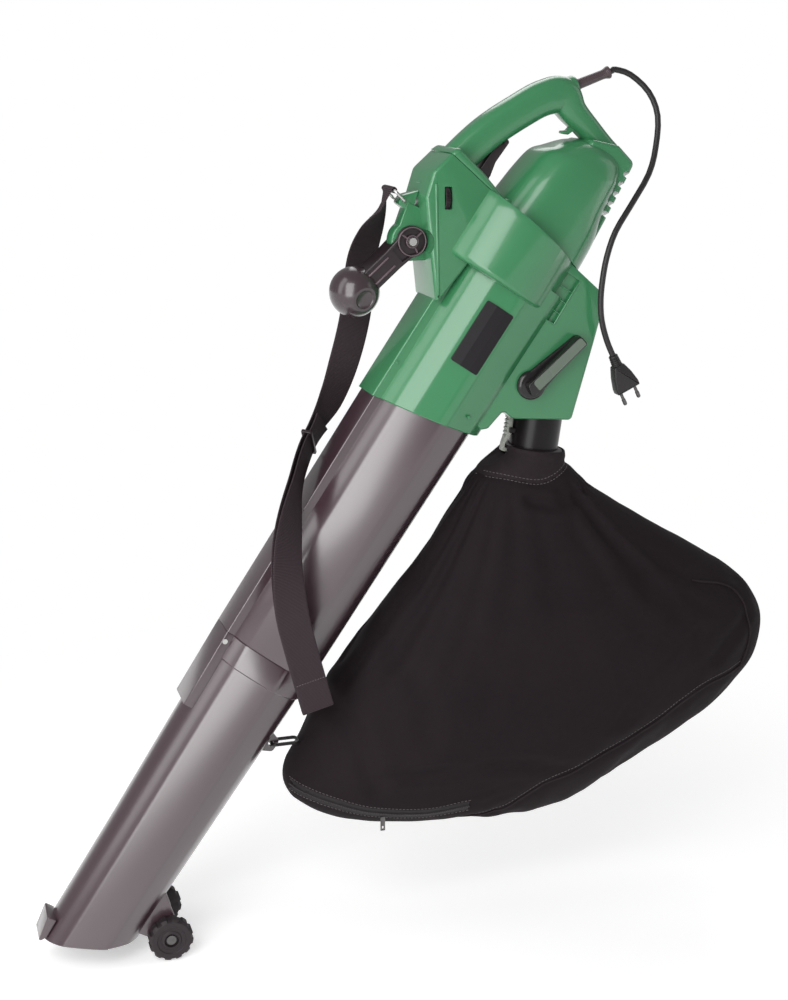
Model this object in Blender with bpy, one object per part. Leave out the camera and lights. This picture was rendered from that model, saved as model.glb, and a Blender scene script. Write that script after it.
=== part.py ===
"""Electric garden leaf blower vacuum with its collection bag, strap and cord.

The machine is drawn in its own frame: s runs up the suction tube from the housing's mouth, y runs across
the machine and t runs from the tube's axis towards the top handle. The whole machine then leans back as
it does when it is held by the main handle, whose grip is the origin. The bag, the strap and the power
cord hang from it under their own weight, so they are drawn in upright axes. Metres throughout.
"""

import math

import bmesh
import bpy
from mathutils import Matrix, Vector

for old in list(bpy.data.objects):
    bpy.data.objects.remove(old, do_unlink=True)

# How the machine is held
TILT = math.radians(56.0)
GRIP_S, GRIP_T = 0.335, 0.106

# Clearances and walls
GAP = 0.0003
RUN = 0.0006
WALL = 0.003

# Suction tubes: outer radius at the housing mouth, at the joint and at the nozzle
MOUTH_R = 0.0645
JOINT_R = 0.0620
NOZZLE_R = 0.0520
TUBE_IN_HOUSING = 0.032
JOINT_S = -0.338
SOCKET_LENGTH = 0.028
SOCKET_STEP = 0.0014
NOZZLE_S = -0.7446
NOZZLE_SLOPE = -0.556
CREASE_T = -0.012
CREASE_STEP = 0.0015
RAIL_HALF = 0.026
RAIL_RISE = 0.0035
RAIL_END_S = -0.438
TAB_S, TAB_DROP, TAB_HALF = -0.438, 0.016, 0.003
TAB_EYE_R, TAB_EYE_RISE = 0.0035, 0.0075
CLIP_WIRE_R, CLIP_HALF = 0.0022, 0.0085
NUB_LENGTH, NUB_HALF, NUB_RISE = 0.030, 0.019, 0.010

# Ground wheels
WHEEL_S, WHEEL_T = -0.696, -0.0765
WHEEL_R = 0.027
WHEEL_WIDTH = 0.017
WHEEL_INNER_Y = 0.034
WHEEL_LUGS = 12
AXLE_R = 0.004
BRACKET_HALF = 0.0335
BRACKET_PLATE = 0.005

# Front housing
HOUSING_WALL = 0.0032
MOUTH_SLOPE = -0.183
HOUSING_BOTTOM = 0.0075
SPLIT_S = 0.2455
SPLIT_SLOPE = 0.13
FAN_T = 0.018
FAN_RING_R = 0.080
FAN_RING_S = 0.172
FAN_CAVITY_R = 0.074
DUCT_HALF = 0.050
DUCT_EDGE = 0.010
SHOULDER_HALF = 0.040
LUG_R = 0.023
LUG_HALF = 0.011
PIVOT_S, PIVOT_T = 0.160, 0.125
PIVOT_BOLT_R = 0.003

# Rear housing and main handle
MOTOR_END_S = 0.386
BLOCK_HALF = 0.042
GRIP_ARC_S, GRIP_ARC_T, GRIP_ARC_R = 0.209, -0.169, 0.301
GRIP_DEPTH = 0.040
GRIP_WIDTH = 0.036
STRUT_HALF = 0.0155
VENT_COUNT = 5
VENT_FIRST_S, VENT_PITCH, VENT_WIDTH, VENT_DEPTH = 0.3102, 0.0128, 0.0062, 0.0083

# Motor and fan
SHAFT_T = 0.0
MOTOR_R, MOTOR_FRONT_S, MOTOR_LENGTH = 0.038, 0.264, 0.080
SHAFT_R = 0.004
BEARING_R, BEARING_WIDTH = 0.011, 0.007
FAN_R, FAN_S, FAN_WIDTH, FAN_BLADES = 0.055, 0.211, 0.042, 9
FAN_EYE_R = 0.034
FAN_PLATE_THICK = 0.003
FAN_PLATE_S = FAN_S - FAN_WIDTH / 2 - FAN_PLATE_THICK - 0.003

# Front handle
EAR_R, EAR_HALF = 0.0180, 0.0180
STEM_LENGTH = 0.086
STEM_DEPTH, STEM_HALF = 0.026, 0.018
STEM_ANGLE = math.radians(165.5)
KNOB_R, KNOB_HALF, KNOB_END_R = 0.0295, 0.0290, 0.0145
KNOB_TURN = math.radians(-20.0)

# Controls
LEVER_S, LEVER_T = 0.0965, -0.0815
LEVER_ANGLE = math.radians(-15.0)
LEVER_LENGTH, LEVER_HUB_R, LEVER_TIP_R, LEVER_THICK = 0.0735, 0.0175, 0.0095, 0.008
FIN_HALF, FIN_RISE = 0.0048, 0.010
SPINDLE_R = 0.005
FLAP_LENGTH, FLAP_THICK, FLAP_ANGLE = 0.066, 0.003, math.radians(8.0)
DIAL_S, DIAL_Y, DIAL_T, DIAL_R, DIAL_THICK = 0.221, -0.0300, 0.124, 0.014, 0.0055
TRIGGER_S, TRIGGER_T = 0.314, 0.0905
TRIGGER_HALF = 0.0085
TRIGGER_PIN_R, TRIGGER_PIN_HALF = 0.0020, 0.0118
SWITCH_LOW, SWITCH_HIGH = (0.272, -0.008, 0.1130), (0.294, 0.008, 0.1270)
SWITCH_BUTTON_S = 0.280
BADGE_S, BADGE_T, BADGE_LENGTH, BADGE_WIDTH = 0.110, 0.0075, 0.080, 0.035

# Outlet spout and bag
SPOUT_R, SPOUT_WALL = 0.0305, 0.0025
SPOUT_LENGTH, SPOUT_INSERT = 0.050, 0.010
OUTLET_S, OUTLET_T, OUTLET_HALF = 0.0735, -0.1335, 0.0447
OUTLET_LINE = (-0.4400, 0.8980)
OUTLET_DOWN = (-0.8980, -0.4400)
COLLAR_WIDTH = 0.012
CATCH_PIN_R, CATCH_PIN_DROP = 0.0015, 0.0200
BAG_SIDES = 22
BAG_TOP = (0.022, 0, -0.151)

# Strap
WEB_WIDTH, WEB_THICK = 0.038, 0.0022
RING_S, RING_T = 0.1925, 0.1585
RING_DEPTH, RING_HALF, RING_WIRE_R = 0.018, 0.0225, 0.00175
RING_OUT = (0.19, 0, 0.98)

# Cord
CORD_R = 0.0035
GUARD_LENGTH, GUARD_R, GUARD_END_R = 0.044, 0.0055, 0.0078
GUARD_S, GUARD_T = 0.4175, 0.0520
GUARD_RISE = math.radians(19.8)

MACHINE_TURN = Matrix.Rotation(-TILT, 4, "Y")
MACHINE = Matrix.Translation(-(MACHINE_TURN @ Vector((GRIP_S, 0, GRIP_T)))) @ MACHINE_TURN


# Frames, materials and objects


def to_world(s, y, t):
    return MACHINE @ Vector((s, y, t))


frame = bpy.data.objects.new("machine_frame", None)
bpy.context.scene.collection.objects.link(frame)
frame.matrix_world = MACHINE

FINISHES = {
    "green_shell": ((0.058, 0.228, 0.102), 0.32, 0.0),
    "tube_plastic": ((0.045, 0.033, 0.036), 0.38, 0.0),
    "black_plastic": ((0.018, 0.016, 0.017), 0.35, 0.0),
    "grey_plastic": ((0.42, 0.43, 0.41), 0.4, 0.0),
    "tyre_rubber": ((0.016, 0.014, 0.015), 0.75, 0.0),
    "bag_fabric": ((0.020, 0.017, 0.018), 0.9, 0.0),
    "strap_webbing": ((0.022, 0.019, 0.020), 0.85, 0.0),
    "bright_steel": ((0.72, 0.73, 0.74), 0.22, 1.0),
    "motor_steel": ((0.38, 0.39, 0.40), 0.45, 1.0),
    "copper_board": ((0.03, 0.16, 0.08), 0.5, 0.0),
    "cord_rubber": ((0.014, 0.013, 0.014), 0.5, 0.0),
}


def finish(name):
    known = bpy.data.materials.get(name)
    if known:
        return known
    colour, roughness, metallic = FINISHES[name]
    material = bpy.data.materials.new(name)
    material.use_nodes = True
    shader = material.node_tree.nodes["Principled BSDF"]
    shader.inputs["Base Color"].default_value = (*colour, 1.0)
    shader.inputs["Roughness"].default_value = roughness
    shader.inputs["Metallic"].default_value = metallic
    return material


def put(name, bm, material=None, pivot=(0, 0, 0), in_machine=True, smooth=40):
    """Makes an object of a bmesh drawn in the machine's frame or upright, with its origin at the pivot."""
    bmesh.ops.remove_doubles(bm, verts=bm.verts, dist=1e-6)
    bmesh.ops.recalc_face_normals(bm, faces=bm.faces)
    bmesh.ops.translate(bm, verts=bm.verts, vec=-Vector(pivot))
    mesh = bpy.data.meshes.new(name)
    bm.to_mesh(mesh)
    bm.free()
    mesh.shade_smooth()
    mesh.set_sharp_from_angle(angle=math.radians(smooth))
    made = bpy.data.objects.new(name, mesh)
    bpy.context.scene.collection.objects.link(made)
    made.location = pivot
    if in_machine:
        made.parent = frame
    if material:
        mesh.materials.append(finish(material))
    else:
        made.hide_render = True
        made.display_type = "WIRE"
    return made


def combine(target, operation, *helpers, solver="EXACT"):
    """Adds Booleans. The housings take the MANIFOLD solver, since EXACT drops pieces of their unions."""
    for helper in helpers:
        step = target.modifiers.new(helper.name, "BOOLEAN")
        step.operation = operation
        step.solver = solver
        step.object = helper
    return target


def cut(target, *helpers, solver="EXACT"):
    return combine(target, "DIFFERENCE", *helpers, solver=solver)


def join(target, *helpers, solver="EXACT"):
    return combine(target, "UNION", *helpers, solver=solver)


# Shapes


def skin(bm, rings, closed=False):
    """Joins rings of points of one count; the ends are capped, or joined to each other when closed."""
    loops = [[bm.verts.new(point) for point in ring] for ring in rings]
    pairs = list(zip(loops, loops[1:]))
    if closed:
        pairs.append((loops[-1], loops[0]))
    count = len(loops[0])
    for low, high in pairs:
        for k in range(count):
            nxt = (k + 1) % count
            bm.faces.new((low[k], low[nxt], high[nxt], high[k]))
    if not closed:
        bm.faces.new(loops[0][::-1])
        bm.faces.new(loops[-1])
    return bm


def loft(rings):
    return skin(bmesh.new(), rings)


def turned(profile, count, place=Matrix(), closed=False):
    """Revolves (height, radius) points about the place's own z axis."""
    bm = bmesh.new()
    loops = []
    for height, radius in profile:
        if radius == 0:
            loops.append([bm.verts.new(place @ Vector((0, 0, height)))])
            continue
        turn = [2 * math.pi * k / count for k in range(count)]
        spots = [Vector((radius * math.cos(a), radius * math.sin(a), height)) for a in turn]
        loops.append([bm.verts.new(place @ spot) for spot in spots])
    pairs = list(zip(loops, loops[1:]))
    if closed:
        pairs.append((loops[-1], loops[0]))
    for low, high in pairs:
        for k in range(count):
            nxt = (k + 1) % count
            corners = [low[k % len(low)], low[nxt % len(low)], high[nxt % len(high)], high[k % len(high)]]
            bm.faces.new(list(dict.fromkeys(corners)))
    return bm


def along(start, direction):
    """A frame whose z axis runs along the direction."""
    turn = Vector((0, 0, 1)).rotation_difference(Vector(direction).normalized())
    return Matrix.Translation(Vector(start)) @ turn.to_matrix().to_4x4()


ACROSS = Matrix.Rotation(-math.pi / 2, 4, "X")


def rounded(corners, segments=4):
    """A closed outline with each (s, t, radius) corner filleted."""
    outline = []
    for k, (s, t, radius) in enumerate(corners):
        here = Vector((s, t))
        before = Vector(corners[k - 1][:2]) - here
        after = Vector(corners[(k + 1) % len(corners)][:2]) - here
        half = before.angle(after) / 2
        if radius == 0 or half > 1.5:
            outline.append((s, t))
            continue
        reach = min(radius / math.tan(half), 0.49 * before.length, 0.49 * after.length)
        start, end = here + before.normalized() * reach, here + after.normalized() * reach
        radius = reach * math.tan(half)
        centre = here + (before.normalized() + after.normalized()).normalized() * radius / math.sin(half)
        sweep = (start - centre).angle_signed(end - centre)
        for step in range(segments + 1):
            arm = (start - centre).copy()
            arm.rotate(Matrix.Rotation(-sweep * step / segments, 2))
            outline.append(tuple(centre + arm))
    return outline


def slab(outline, low, high, edge=0.0, segments=2):
    """Extrudes an (s, t) outline from y = low to y = high, with rounded rims where an edge is given."""
    bm = bmesh.new()
    face = bm.faces.new([bm.verts.new((s, low, t)) for s, t in outline])
    grown = bmesh.ops.extrude_face_region(bm, geom=[face])["geom"]
    moved = [item for item in grown if isinstance(item, bmesh.types.BMVert)]
    bmesh.ops.translate(bm, verts=moved, vec=(0, high - low, 0))
    if edge:
        rims = [e for e in bm.edges if abs(e.verts[0].co.y - e.verts[1].co.y) < 1e-9]
        bmesh.ops.bevel(bm, geom=rims, offset=edge, segments=segments, profile=0.5, affect="EDGES")
    return bm


def rod(start, end, radius, count=16):
    start, end = Vector(start), Vector(end)
    length = (end - start).length
    profile = [(0, 0), (0, radius), (length, radius), (length, 0)]
    return turned(profile, count, along(start, end - start))


def oval(s, half_width, low, high, count, power=2.0, slope=0.0):
    """One ring round the s axis: a superellipse, with s shifted in proportion to t."""
    ring = []
    middle, half = (low + high) / 2, (high - low) / 2
    for k in range(count):
        a = 2 * math.pi * k / count
        y = half_width * math.copysign(abs(math.cos(a)) ** (2 / power), math.cos(a))
        t = middle + half * math.copysign(abs(math.sin(a)) ** (2 / power), math.sin(a))
        ring.append((s + slope * t, y, t))
    return ring


def tube_ring(s, radius, slope=0.0, step=CREASE_STEP, half_count=16, drop=0.0):
    """A tube section with the ridge that runs along each flank, where the lower half steps in."""
    ring = []
    for k in range(half_count + 1):
        a = math.pi * k / half_count
        t = CREASE_T + (radius - CREASE_T) * math.sin(a)
        ring.append((s + slope * t, radius * math.cos(a), t))
    for k in range(half_count + 1):
        a = math.pi * k / half_count
        t = CREASE_T - (radius + drop + CREASE_T) * math.sin(a)
        ring.append((s + slope * t, -(radius - step) * math.cos(a), t))
    return ring


def tube_radius(s):
    """Outer radius of the suction tube: straight tapers from the mouth to the joint and to the nozzle."""
    if s > JOINT_S:
        return MOUTH_R + (JOINT_R - MOUTH_R) * s / JOINT_S
    return JOINT_R + (NOZZLE_R - JOINT_R) * (s - JOINT_S) / (NOZZLE_S - JOINT_S)


def rail(ends, half, bottom, rise=0.0, edge=0.002):
    """The flat-topped rail along the tube's top, between two (s, slope) ends on it."""
    rings = []
    for s, slope in ends:
        top = tube_radius(s) + RAIL_RISE + rise
        chamfer = [(-half, bottom), (-half, top - edge), (edge - half, top)]
        outline = chamfer + [(-y, t) for y, t in chamfer[::-1]]
        rings.append([(s + slope * t, y, t) for y, t in outline])
    return loft(rings)


# Suction tubes


def build_upper_tube():
    low = JOINT_S + GAP
    spigot = JOINT_S - SOCKET_LENGTH
    slim = tube_radius(JOINT_S) - WALL - RUN
    outer = [
        tube_ring(TUBE_IN_HOUSING, tube_radius(0)),
        tube_ring(low, tube_radius(low)),
        tube_ring(low - 0.0002, slim),
        tube_ring(spigot, slim),
    ]
    tube = put("upper_tube", loft(outer), "tube_plastic")
    ends = ((-2 * GAP, MOUTH_SLOPE), (low + GAP / 3, 0.0))
    flat = put("upper_rail_form", rail(ends, RAIL_HALF, slim - 0.004))
    bore = slim - WALL
    mouth_bore = tube_radius(0) - 2 * WALL
    stations = ((TUBE_IN_HOUSING + 0.01, mouth_bore), (spigot - 0.01, bore))
    hollow = put("upper_bore", loft([tube_ring(s, r) for s, r in stations]))
    return cut(join(tube, flat), hollow)


def build_lower_tube():
    step_s = JOINT_S - SOCKET_LENGTH - 0.002
    outer = [
        tube_ring(JOINT_S, tube_radius(JOINT_S)),
        tube_ring(step_s, tube_radius(step_s)),
        tube_ring(step_s - 0.0015, tube_radius(step_s) - SOCKET_STEP),
        tube_ring(-0.60, tube_radius(-0.60) - SOCKET_STEP),
        tube_ring(NOZZLE_S, NOZZLE_R, NOZZLE_SLOPE),
    ]
    tube = put("lower_tube", loft(outer), "tube_plastic")
    socket = tube_radius(JOINT_S) - WALL
    ends = ((JOINT_S - GAP / 2, 0.0), (RAIL_END_S, 0.0))
    flat = put("lower_rail_form", rail(ends, RAIL_HALF, socket - 0.006))
    tip_s = NOZZLE_S + NOZZLE_SLOPE * NOZZLE_R
    nub_outline = [
        (tip_s + NUB_LENGTH, NOZZLE_R + NUB_RISE),
        (tip_s + NUB_LENGTH, NOZZLE_R - 0.006),
        (tip_s + 0.006, NOZZLE_R - 0.006),
        (tip_s - 0.004, NOZZLE_R + 0.004),
    ]
    nub = put("nub_form", slab(nub_outline, -NUB_HALF, NUB_HALF))
    under = -tube_radius(WHEEL_S)
    cheek_top = -math.sqrt(tube_radius(WHEEL_S) ** 2 - BRACKET_HALF**2)
    cheek = rounded(
        [
            (WHEEL_S - 0.016, cheek_top + 0.002, 0),
            (WHEEL_S - 0.012, WHEEL_T - 0.009, 0.008),
            (WHEEL_S + 0.010, WHEEL_T - 0.009, 0.008),
            (WHEEL_S + 0.050, cheek_top + 0.002, 0),
        ]
    )
    cheeks = []
    for side in (-1, 1):
        faces = sorted((side * BRACKET_HALF, side * (BRACKET_HALF - BRACKET_PLATE)))
        cheeks.append(put(f"cheek_form_{side}", slab(cheek, *faces)))
    keel_outline = [
        (WHEEL_S - 0.003, under + 0.008),
        (WHEEL_S - 0.003, WHEEL_T + 0.010),
        (WHEEL_S + 0.003, WHEEL_T + 0.010),
        (WHEEL_S + 0.036, under + 0.008),
    ]
    keel = put("keel_form", slab(keel_outline, -BRACKET_HALF + 0.001, BRACKET_HALF - 0.001))
    tab_t = -tube_radius(TAB_S)
    tab = rounded(
        [
            (TAB_S - 0.016, tab_t + 0.006, 0),
            (TAB_S - 0.008, tab_t - TAB_DROP, 0.004),
            (TAB_S + 0.008, tab_t - TAB_DROP, 0.004),
            (TAB_S + 0.016, tab_t + 0.006, 0),
        ]
    )
    plate = put("tab_form", slab(tab, -TAB_HALF, TAB_HALF))
    join(tube, flat, nub, *cheeks, keel, plate)
    bores = (
        (JOINT_S + 0.01, socket),
        (JOINT_S - SOCKET_LENGTH - GAP, socket),
        (JOINT_S - SOCKET_LENGTH - 2 * GAP, socket - WALL),
        (-0.60, tube_radius(-0.60) - SOCKET_STEP - WALL),
    )
    rings = [tube_ring(s, r) for s, r in bores]
    rings += [tube_ring(NOZZLE_S + d, NOZZLE_R - WALL, NOZZLE_SLOPE) for d in (0.001, -0.03)]
    hollow = put("lower_bore", loft(rings))
    across = BRACKET_HALF + 0.01
    axle_hole = rod((WHEEL_S, -across, WHEEL_T), (WHEEL_S, across, WHEEL_T), AXLE_R + GAP, 18)
    eye_t = tab_t - TAB_DROP + TAB_EYE_RISE
    eye = put("tab_eye", rod((TAB_S, -0.01, eye_t), (TAB_S, 0.01, eye_t), TAB_EYE_R, 12))
    return cut(tube, hollow, put("axle_hole", axle_hole), eye)


def build_wheels():
    """Two wheels with lugged treads on one axle, held on by its upset ends."""
    centre_y = WHEEL_INNER_Y + WHEEL_WIDTH / 2
    for name, side in (("wheel_left", -1), ("wheel_right", 1)):
        half = WHEEL_WIDTH / 2
        bore = AXLE_R + GAP
        profile = [
            (-half, bore),
            (-half, WHEEL_R - 0.003),
            (-half + 0.0025, WHEEL_R),
            (half - 0.0025, WHEEL_R),
            (half, WHEEL_R - 0.003),
            (half, bore + 0.0045),
            (half - 0.004, bore + 0.0045),
            (half - 0.004, bore),
        ]
        place = Matrix.Translation((WHEEL_S, side * centre_y, WHEEL_T)) @ ACROSS
        if side < 0:
            place = place @ Matrix.Rotation(math.pi, 4, "X")
        count = WHEEL_LUGS * 4
        bm = turned(profile, count, place, closed=True)
        for vert in bm.verts:
            arm = vert.co - Vector((WHEEL_S, vert.co.y, WHEEL_T))
            if arm.length > WHEEL_R - 0.001:
                index = round(math.atan2(arm.z, arm.x) / (2 * math.pi) * count) % 4
                if index in (0, 1):
                    vert.co -= arm.normalized() * 0.0016
        put(name, bm, "tyre_rubber", pivot=(WHEEL_S, side * centre_y, WHEEL_T))
    end = WHEEL_INNER_Y + WHEEL_WIDTH - 0.0017
    head = [(0, 0), (0, AXLE_R + 0.002), (0.002, AXLE_R + 0.002), (0.002, AXLE_R)]
    tail = [(2 * end - h, r) for h, r in head[::-1]]
    place = Matrix.Translation((WHEEL_S, -end, WHEEL_T)) @ ACROSS
    put("wheel_axle", turned(head + tail, 16, place), "motor_steel")


def build_joint_bolt():
    """The screw that goes through the lower rail's cheek and holds the joint."""
    s, t = JOINT_S - 0.011, tube_radius(JOINT_S) - 0.0005
    head_y = -RAIL_HALF - 0.0016
    profile = [(0, 0), (0, 0.0032), (0.0012, 0.0032), (0.0012, 0.0016), (0.012, 0.0016), (0.012, 0)]
    place = Matrix.Translation((s, head_y, t)) @ ACROSS
    bolt = put("joint_screw", turned(profile, 14, place), "bright_steel")
    grow = [(-0.02, 0), (-0.02, 0.0032 + GAP), (0.0012 + GAP, 0.0032 + GAP), (0.0012 + GAP, 0.0016 + GAP)]
    grow += [(0.012 + GAP, 0.0016 + GAP), (0.012 + GAP, 0)]
    return bolt, put("joint_screw_hole", turned(grow, 14, place))


# Housings


def half_blank(side, front):
    """Half of all space on one side of the mirror plane, in front of or behind the slanted split."""
    plane = [(SPLIT_S + SPLIT_SLOPE * t, t) for t in (-0.3, 0.3)]
    shift = 0 if front else GAP
    far = -0.15 if front else 0.55
    outline = [(s + shift, t) for s, t in plane] + [(far, 0.3), (far, -0.3)]
    faces = sorted((side * GAP / 2, side * 0.2))
    return slab(outline, *faces)


def duct_rings(grow=0.0):
    """The front housing's main barrel, from the slanted mouth to the fan ring."""
    radius = MOUTH_R + HOUSING_WALL + grow
    stations = ((0.0, MOUTH_SLOPE, 0.0), (0.055, -0.05, 0.0), (0.20, 0.0, 0.001))
    return [
        tube_ring(s, radius + more, slope, half_count=20, drop=HOUSING_BOTTOM)
        for s, slope, more in stations
    ]


def outlet_corners(inset):
    """The back and front corners of the duct's outlet face, or of its hollow's."""
    face = Vector(OUTLET_LINE)
    middle = Vector((OUTLET_S, OUTLET_T)) - Vector(OUTLET_DOWN) * inset
    reach = OUTLET_HALF - 1.2 * inset
    back, front = middle - face * reach, middle + face * reach
    return (back.x, back.y, 0.005), (front.x, front.y, 0.010)


def duct_outline():
    """Side view of the volute duct that leads from the fan to the spout."""
    back, front = outlet_corners(0.0)
    corners = [
        (0.256, -0.033, 0),
        (0.252, -0.104, 0.012),
        (0.211, -0.1365, 0.014),
        (0.186, -0.1470, 0.010),
        back,
        front,
        (0.024, -0.0685, 0.004),
        (0.020, -0.033, 0),
    ]
    return rounded(corners)


def duct_hollow_outline():
    """The duct's hollow, one wall inside it, with a lower ceiling in front of the fan's plate."""
    back, front = outlet_corners(WALL)
    corners = [
        (0.400, -0.033, 0),
        (0.400, -0.104 + WALL, 0),
        (0.246, -0.104 + WALL, 0),
        (0.211, -0.1365 + WALL, 0.014),
        (0.186, -0.1470 + WALL, 0.010),
        back,
        front,
        (0.040, -0.0655, 0),
        (FAN_PLATE_S, -0.0655, 0),
        (FAN_PLATE_S, -0.033, 0),
    ]
    return rounded(corners)


def shoulder_outline():
    """Side view of the block that carries the thumbwheel, the handle's tongue and the grip's front."""
    corners = [
        (0.112, 0.040, 0),
        (0.112, 0.0765, 0.004),
        (0.2055, 0.1525, 0.006),
        (0.236, 0.1565, 0.012),
        (0.300, 0.139, 0),
        (0.300, 0.040, 0),
    ]
    return rounded(corners)


def arc_rings(first, last, depth, width, count, steps, power=2.4):
    """Sections along the handle's arc, between two angles at its centre."""
    rings = []
    for k in range(steps + 1):
        a = first + (last - first) * k / steps
        ring = []
        for _, y, swing in oval(0, width / 2, -depth / 2, depth / 2, count, power):
            radius = GRIP_ARC_R + swing
            ring.append((GRIP_ARC_S + radius * math.cos(a), y, GRIP_ARC_T + radius * math.sin(a)))
        rings.append(ring)
    return rings


def lug_outline():
    """The tongue on the shoulder that the front handle's fork straddles."""
    corners = [(0.196, 0.1535, 0), (0.200, 0.110, 0), (0.138, 0.080, 0)]
    arc = []
    for k in range(9):
        a = math.radians(222 - 152 * k / 8)
        arc.append((PIVOT_S + LUG_R * math.cos(a), PIVOT_T + LUG_R * math.sin(a)))
    return [point[:2] for point in corners] + arc


def front_forms():
    """The front housing's outer shape, in its parts."""
    s_axis = (1, 0, 0)
    top = MOUTH_R + RAIL_RISE + HOUSING_WALL
    half = RAIL_HALF + HOUSING_WALL
    outline = [(-half, 0.03), (-half, top - 0.003), (0.003 - half, top)]
    outline += [(-y, t) for y, t in outline[::-1]]
    ends = ((0.0, MOUTH_SLOPE), (0.18, 0.0))
    rings = [[(s + slope * t, y, t) for y, t in outline] for s, slope in ends]
    ridge = put("ridge_form", loft(rings))
    edge = 0.006
    band = [
        (0, 0),
        (0, FAN_RING_R - edge),
        (edge * 0.3, FAN_RING_R - edge * 0.3),
        (edge, FAN_RING_R),
        (0.10, FAN_RING_R),
        (0.10, 0),
    ]
    ring = put("fan_ring_form", turned(band, 48, along((FAN_RING_S, 0, FAN_T), s_axis)))
    shoulder = put("shoulder_form", slab(shoulder_outline(), -SHOULDER_HALF, SHOULDER_HALF, 0.009))
    lug = put("lug_form", slab(lug_outline(), -LUG_HALF, LUG_HALF))
    duct = put("duct_form", slab(duct_outline(), -DUCT_HALF, DUCT_HALF, DUCT_EDGE, 3))
    eye = rounded(
        [
            (RING_S - 0.007, RING_T - 0.018, 0),
            (RING_S - 0.007, RING_T + 0.006, 0.004),
            (RING_S + 0.006, RING_T + 0.006, 0.004),
            (RING_S + 0.022, RING_T - 0.010, 0),
        ]
    )
    ring_eye = put("ring_eye_form", slab(eye, -RING_HALF + 0.0075, RING_HALF - 0.0075))
    return [ridge, ring, shoulder, lug, duct, ring_eye]


def front_cavities():
    s_axis = (1, 0, 0)
    socket_r = MOUTH_R + RUN
    rings = [tube_ring(s, socket_r) for s in (-0.06, TUBE_IN_HOUSING + GAP)]
    socket = put("socket_form", loft(rings))
    flat_top = MOUTH_R + RAIL_RISE + GAP
    half = RAIL_HALF + GAP
    end = TUBE_IN_HOUSING + 0.001
    mouth_way = [(-0.06, 0.03), (end, 0.03), (end, flat_top), (-0.06, flat_top)]
    rail_way = put("rail_way", slab(mouth_way, -half, half))
    duct_r = MOUTH_R - 2 * WALL
    eye_r = FAN_EYE_R + 0.004
    funnel = [(0.02, 0), (0.02, duct_r), (0.145, duct_r), (FAN_PLATE_S, eye_r), (FAN_PLATE_S, 0)]
    air = put("air_form", turned(funnel, 36, along((0, 0, 0), s_axis)))
    fan = put("fan_form", rod((FAN_PLATE_S - GAP, 0, FAN_T), (0.40, 0, FAN_T), FAN_CAVITY_R, 32))
    duct = put("duct_hollow", slab(duct_hollow_outline(), -DUCT_HALF + WALL, DUCT_HALF - WALL))
    near, far = LEVER_S + 0.009, LEVER_S + 0.062
    door = [(near, -0.075), (far, -0.075), (far, -0.04), (near, -0.04)]
    window = put("flap_window", slab(door, -0.030, 0.030))
    spindle = put("spindle_hole", across(LEVER_S, LEVER_T, SPINDLE_R + GAP, DUCT_HALF + 0.02, 20))
    down = Vector((OUTLET_DOWN[0], 0, OUTLET_DOWN[1]))
    face = Vector((OUTLET_S, 0, OUTLET_T))
    outlet = put("outlet_hole", rod(face - down * 0.03, face + down * 0.03, SPOUT_R + GAP, 32))
    room = put("shoulder_hollow", slab(shoulder_room(), -SHOULDER_HALF + WALL, SHOULDER_HALF - WALL))
    pin = put("pivot_hole", across(PIVOT_S, PIVOT_T, PIVOT_BOLT_R + GAP, LUG_HALF + 0.05, 16))
    wire = put("ring_hole", across(RING_S, RING_T, RING_WIRE_R + GAP, 0.05, 12))
    return [socket, rail_way, air, fan, duct, window, spindle, outlet, room, pin, wire]


def across(s, t, radius, half, count=16):
    """A rod that lies across the machine, from -half to half."""
    return rod((s, -half, t), (s, half, t), radius, count)


def shoulder_room():
    corners = [
        (0.198, 0.1005, 0.003),
        (0.198, 0.1350, 0.004),
        (0.212, 0.1480, 0.004),
        (0.300, 0.1300, 0),
        (0.300, 0.1005, 0),
    ]
    return rounded(corners)


def build_front_housing():
    forms = front_forms()
    hollows = front_cavities()
    shells = []
    for name, side in (("front_housing_left", -1), ("front_housing_right", 1)):
        shell = put(name, half_blank(side, True), "green_shell")
        outer = put(f"{name}_outer", loft(duct_rings()))
        join(outer, *forms, solver="MANIFOLD")
        combine(shell, "INTERSECT", outer, solver="MANIFOLD")
        faces = sorted((side * (LUG_HALF + GAP), side * (EAR_HALF + 2 * RUN)))
        room = rod((PIVOT_S, faces[0], PIVOT_T), (PIVOT_S, faces[1], PIVOT_T), EAR_R + 0.0012, 28)
        cut(shell, *hollows, put(f"{name}_ear_room", room), solver="MANIFOLD")
        shells.append(shell)
    cut(shells[0], dial_slot(), badge_seat(), *cooling_cuts(), solver="MANIFOLD")
    return shells


def dial_slot():
    """The window in the left side of the shoulder that the thumbwheel shows through."""
    half = (DIAL_R * 0.92, 0.006, DIAL_THICK / 2 + RUN)
    return put("dial_slot_form", block(dial_place() @ Matrix.Translation((0, -0.010, 0)), half))


def dial_place():
    """The thumbwheel's frame: z along its level axis, y across the machine."""
    level = MACHINE_TURN.inverted() @ Matrix.Rotation(math.pi / 2, 4, "Y")
    return Matrix.Translation((DIAL_S, DIAL_Y, DIAL_T)) @ level


def block(place, half):
    """A plain box of the given half sizes in the place's own axes."""
    bm = bmesh.new()
    bmesh.ops.create_cube(bm, size=2, matrix=place @ Matrix.Diagonal((*half, 1)))
    return bm


def badge_seat():
    outline = rounded(badge_outline(GAP), 2)
    seat = put("badge_seat_form", slab(outline, -0.09, -0.03))
    deep = put("badge_seat_core", loft(duct_rings(-0.0008)))
    return cut(seat, deep)


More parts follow.
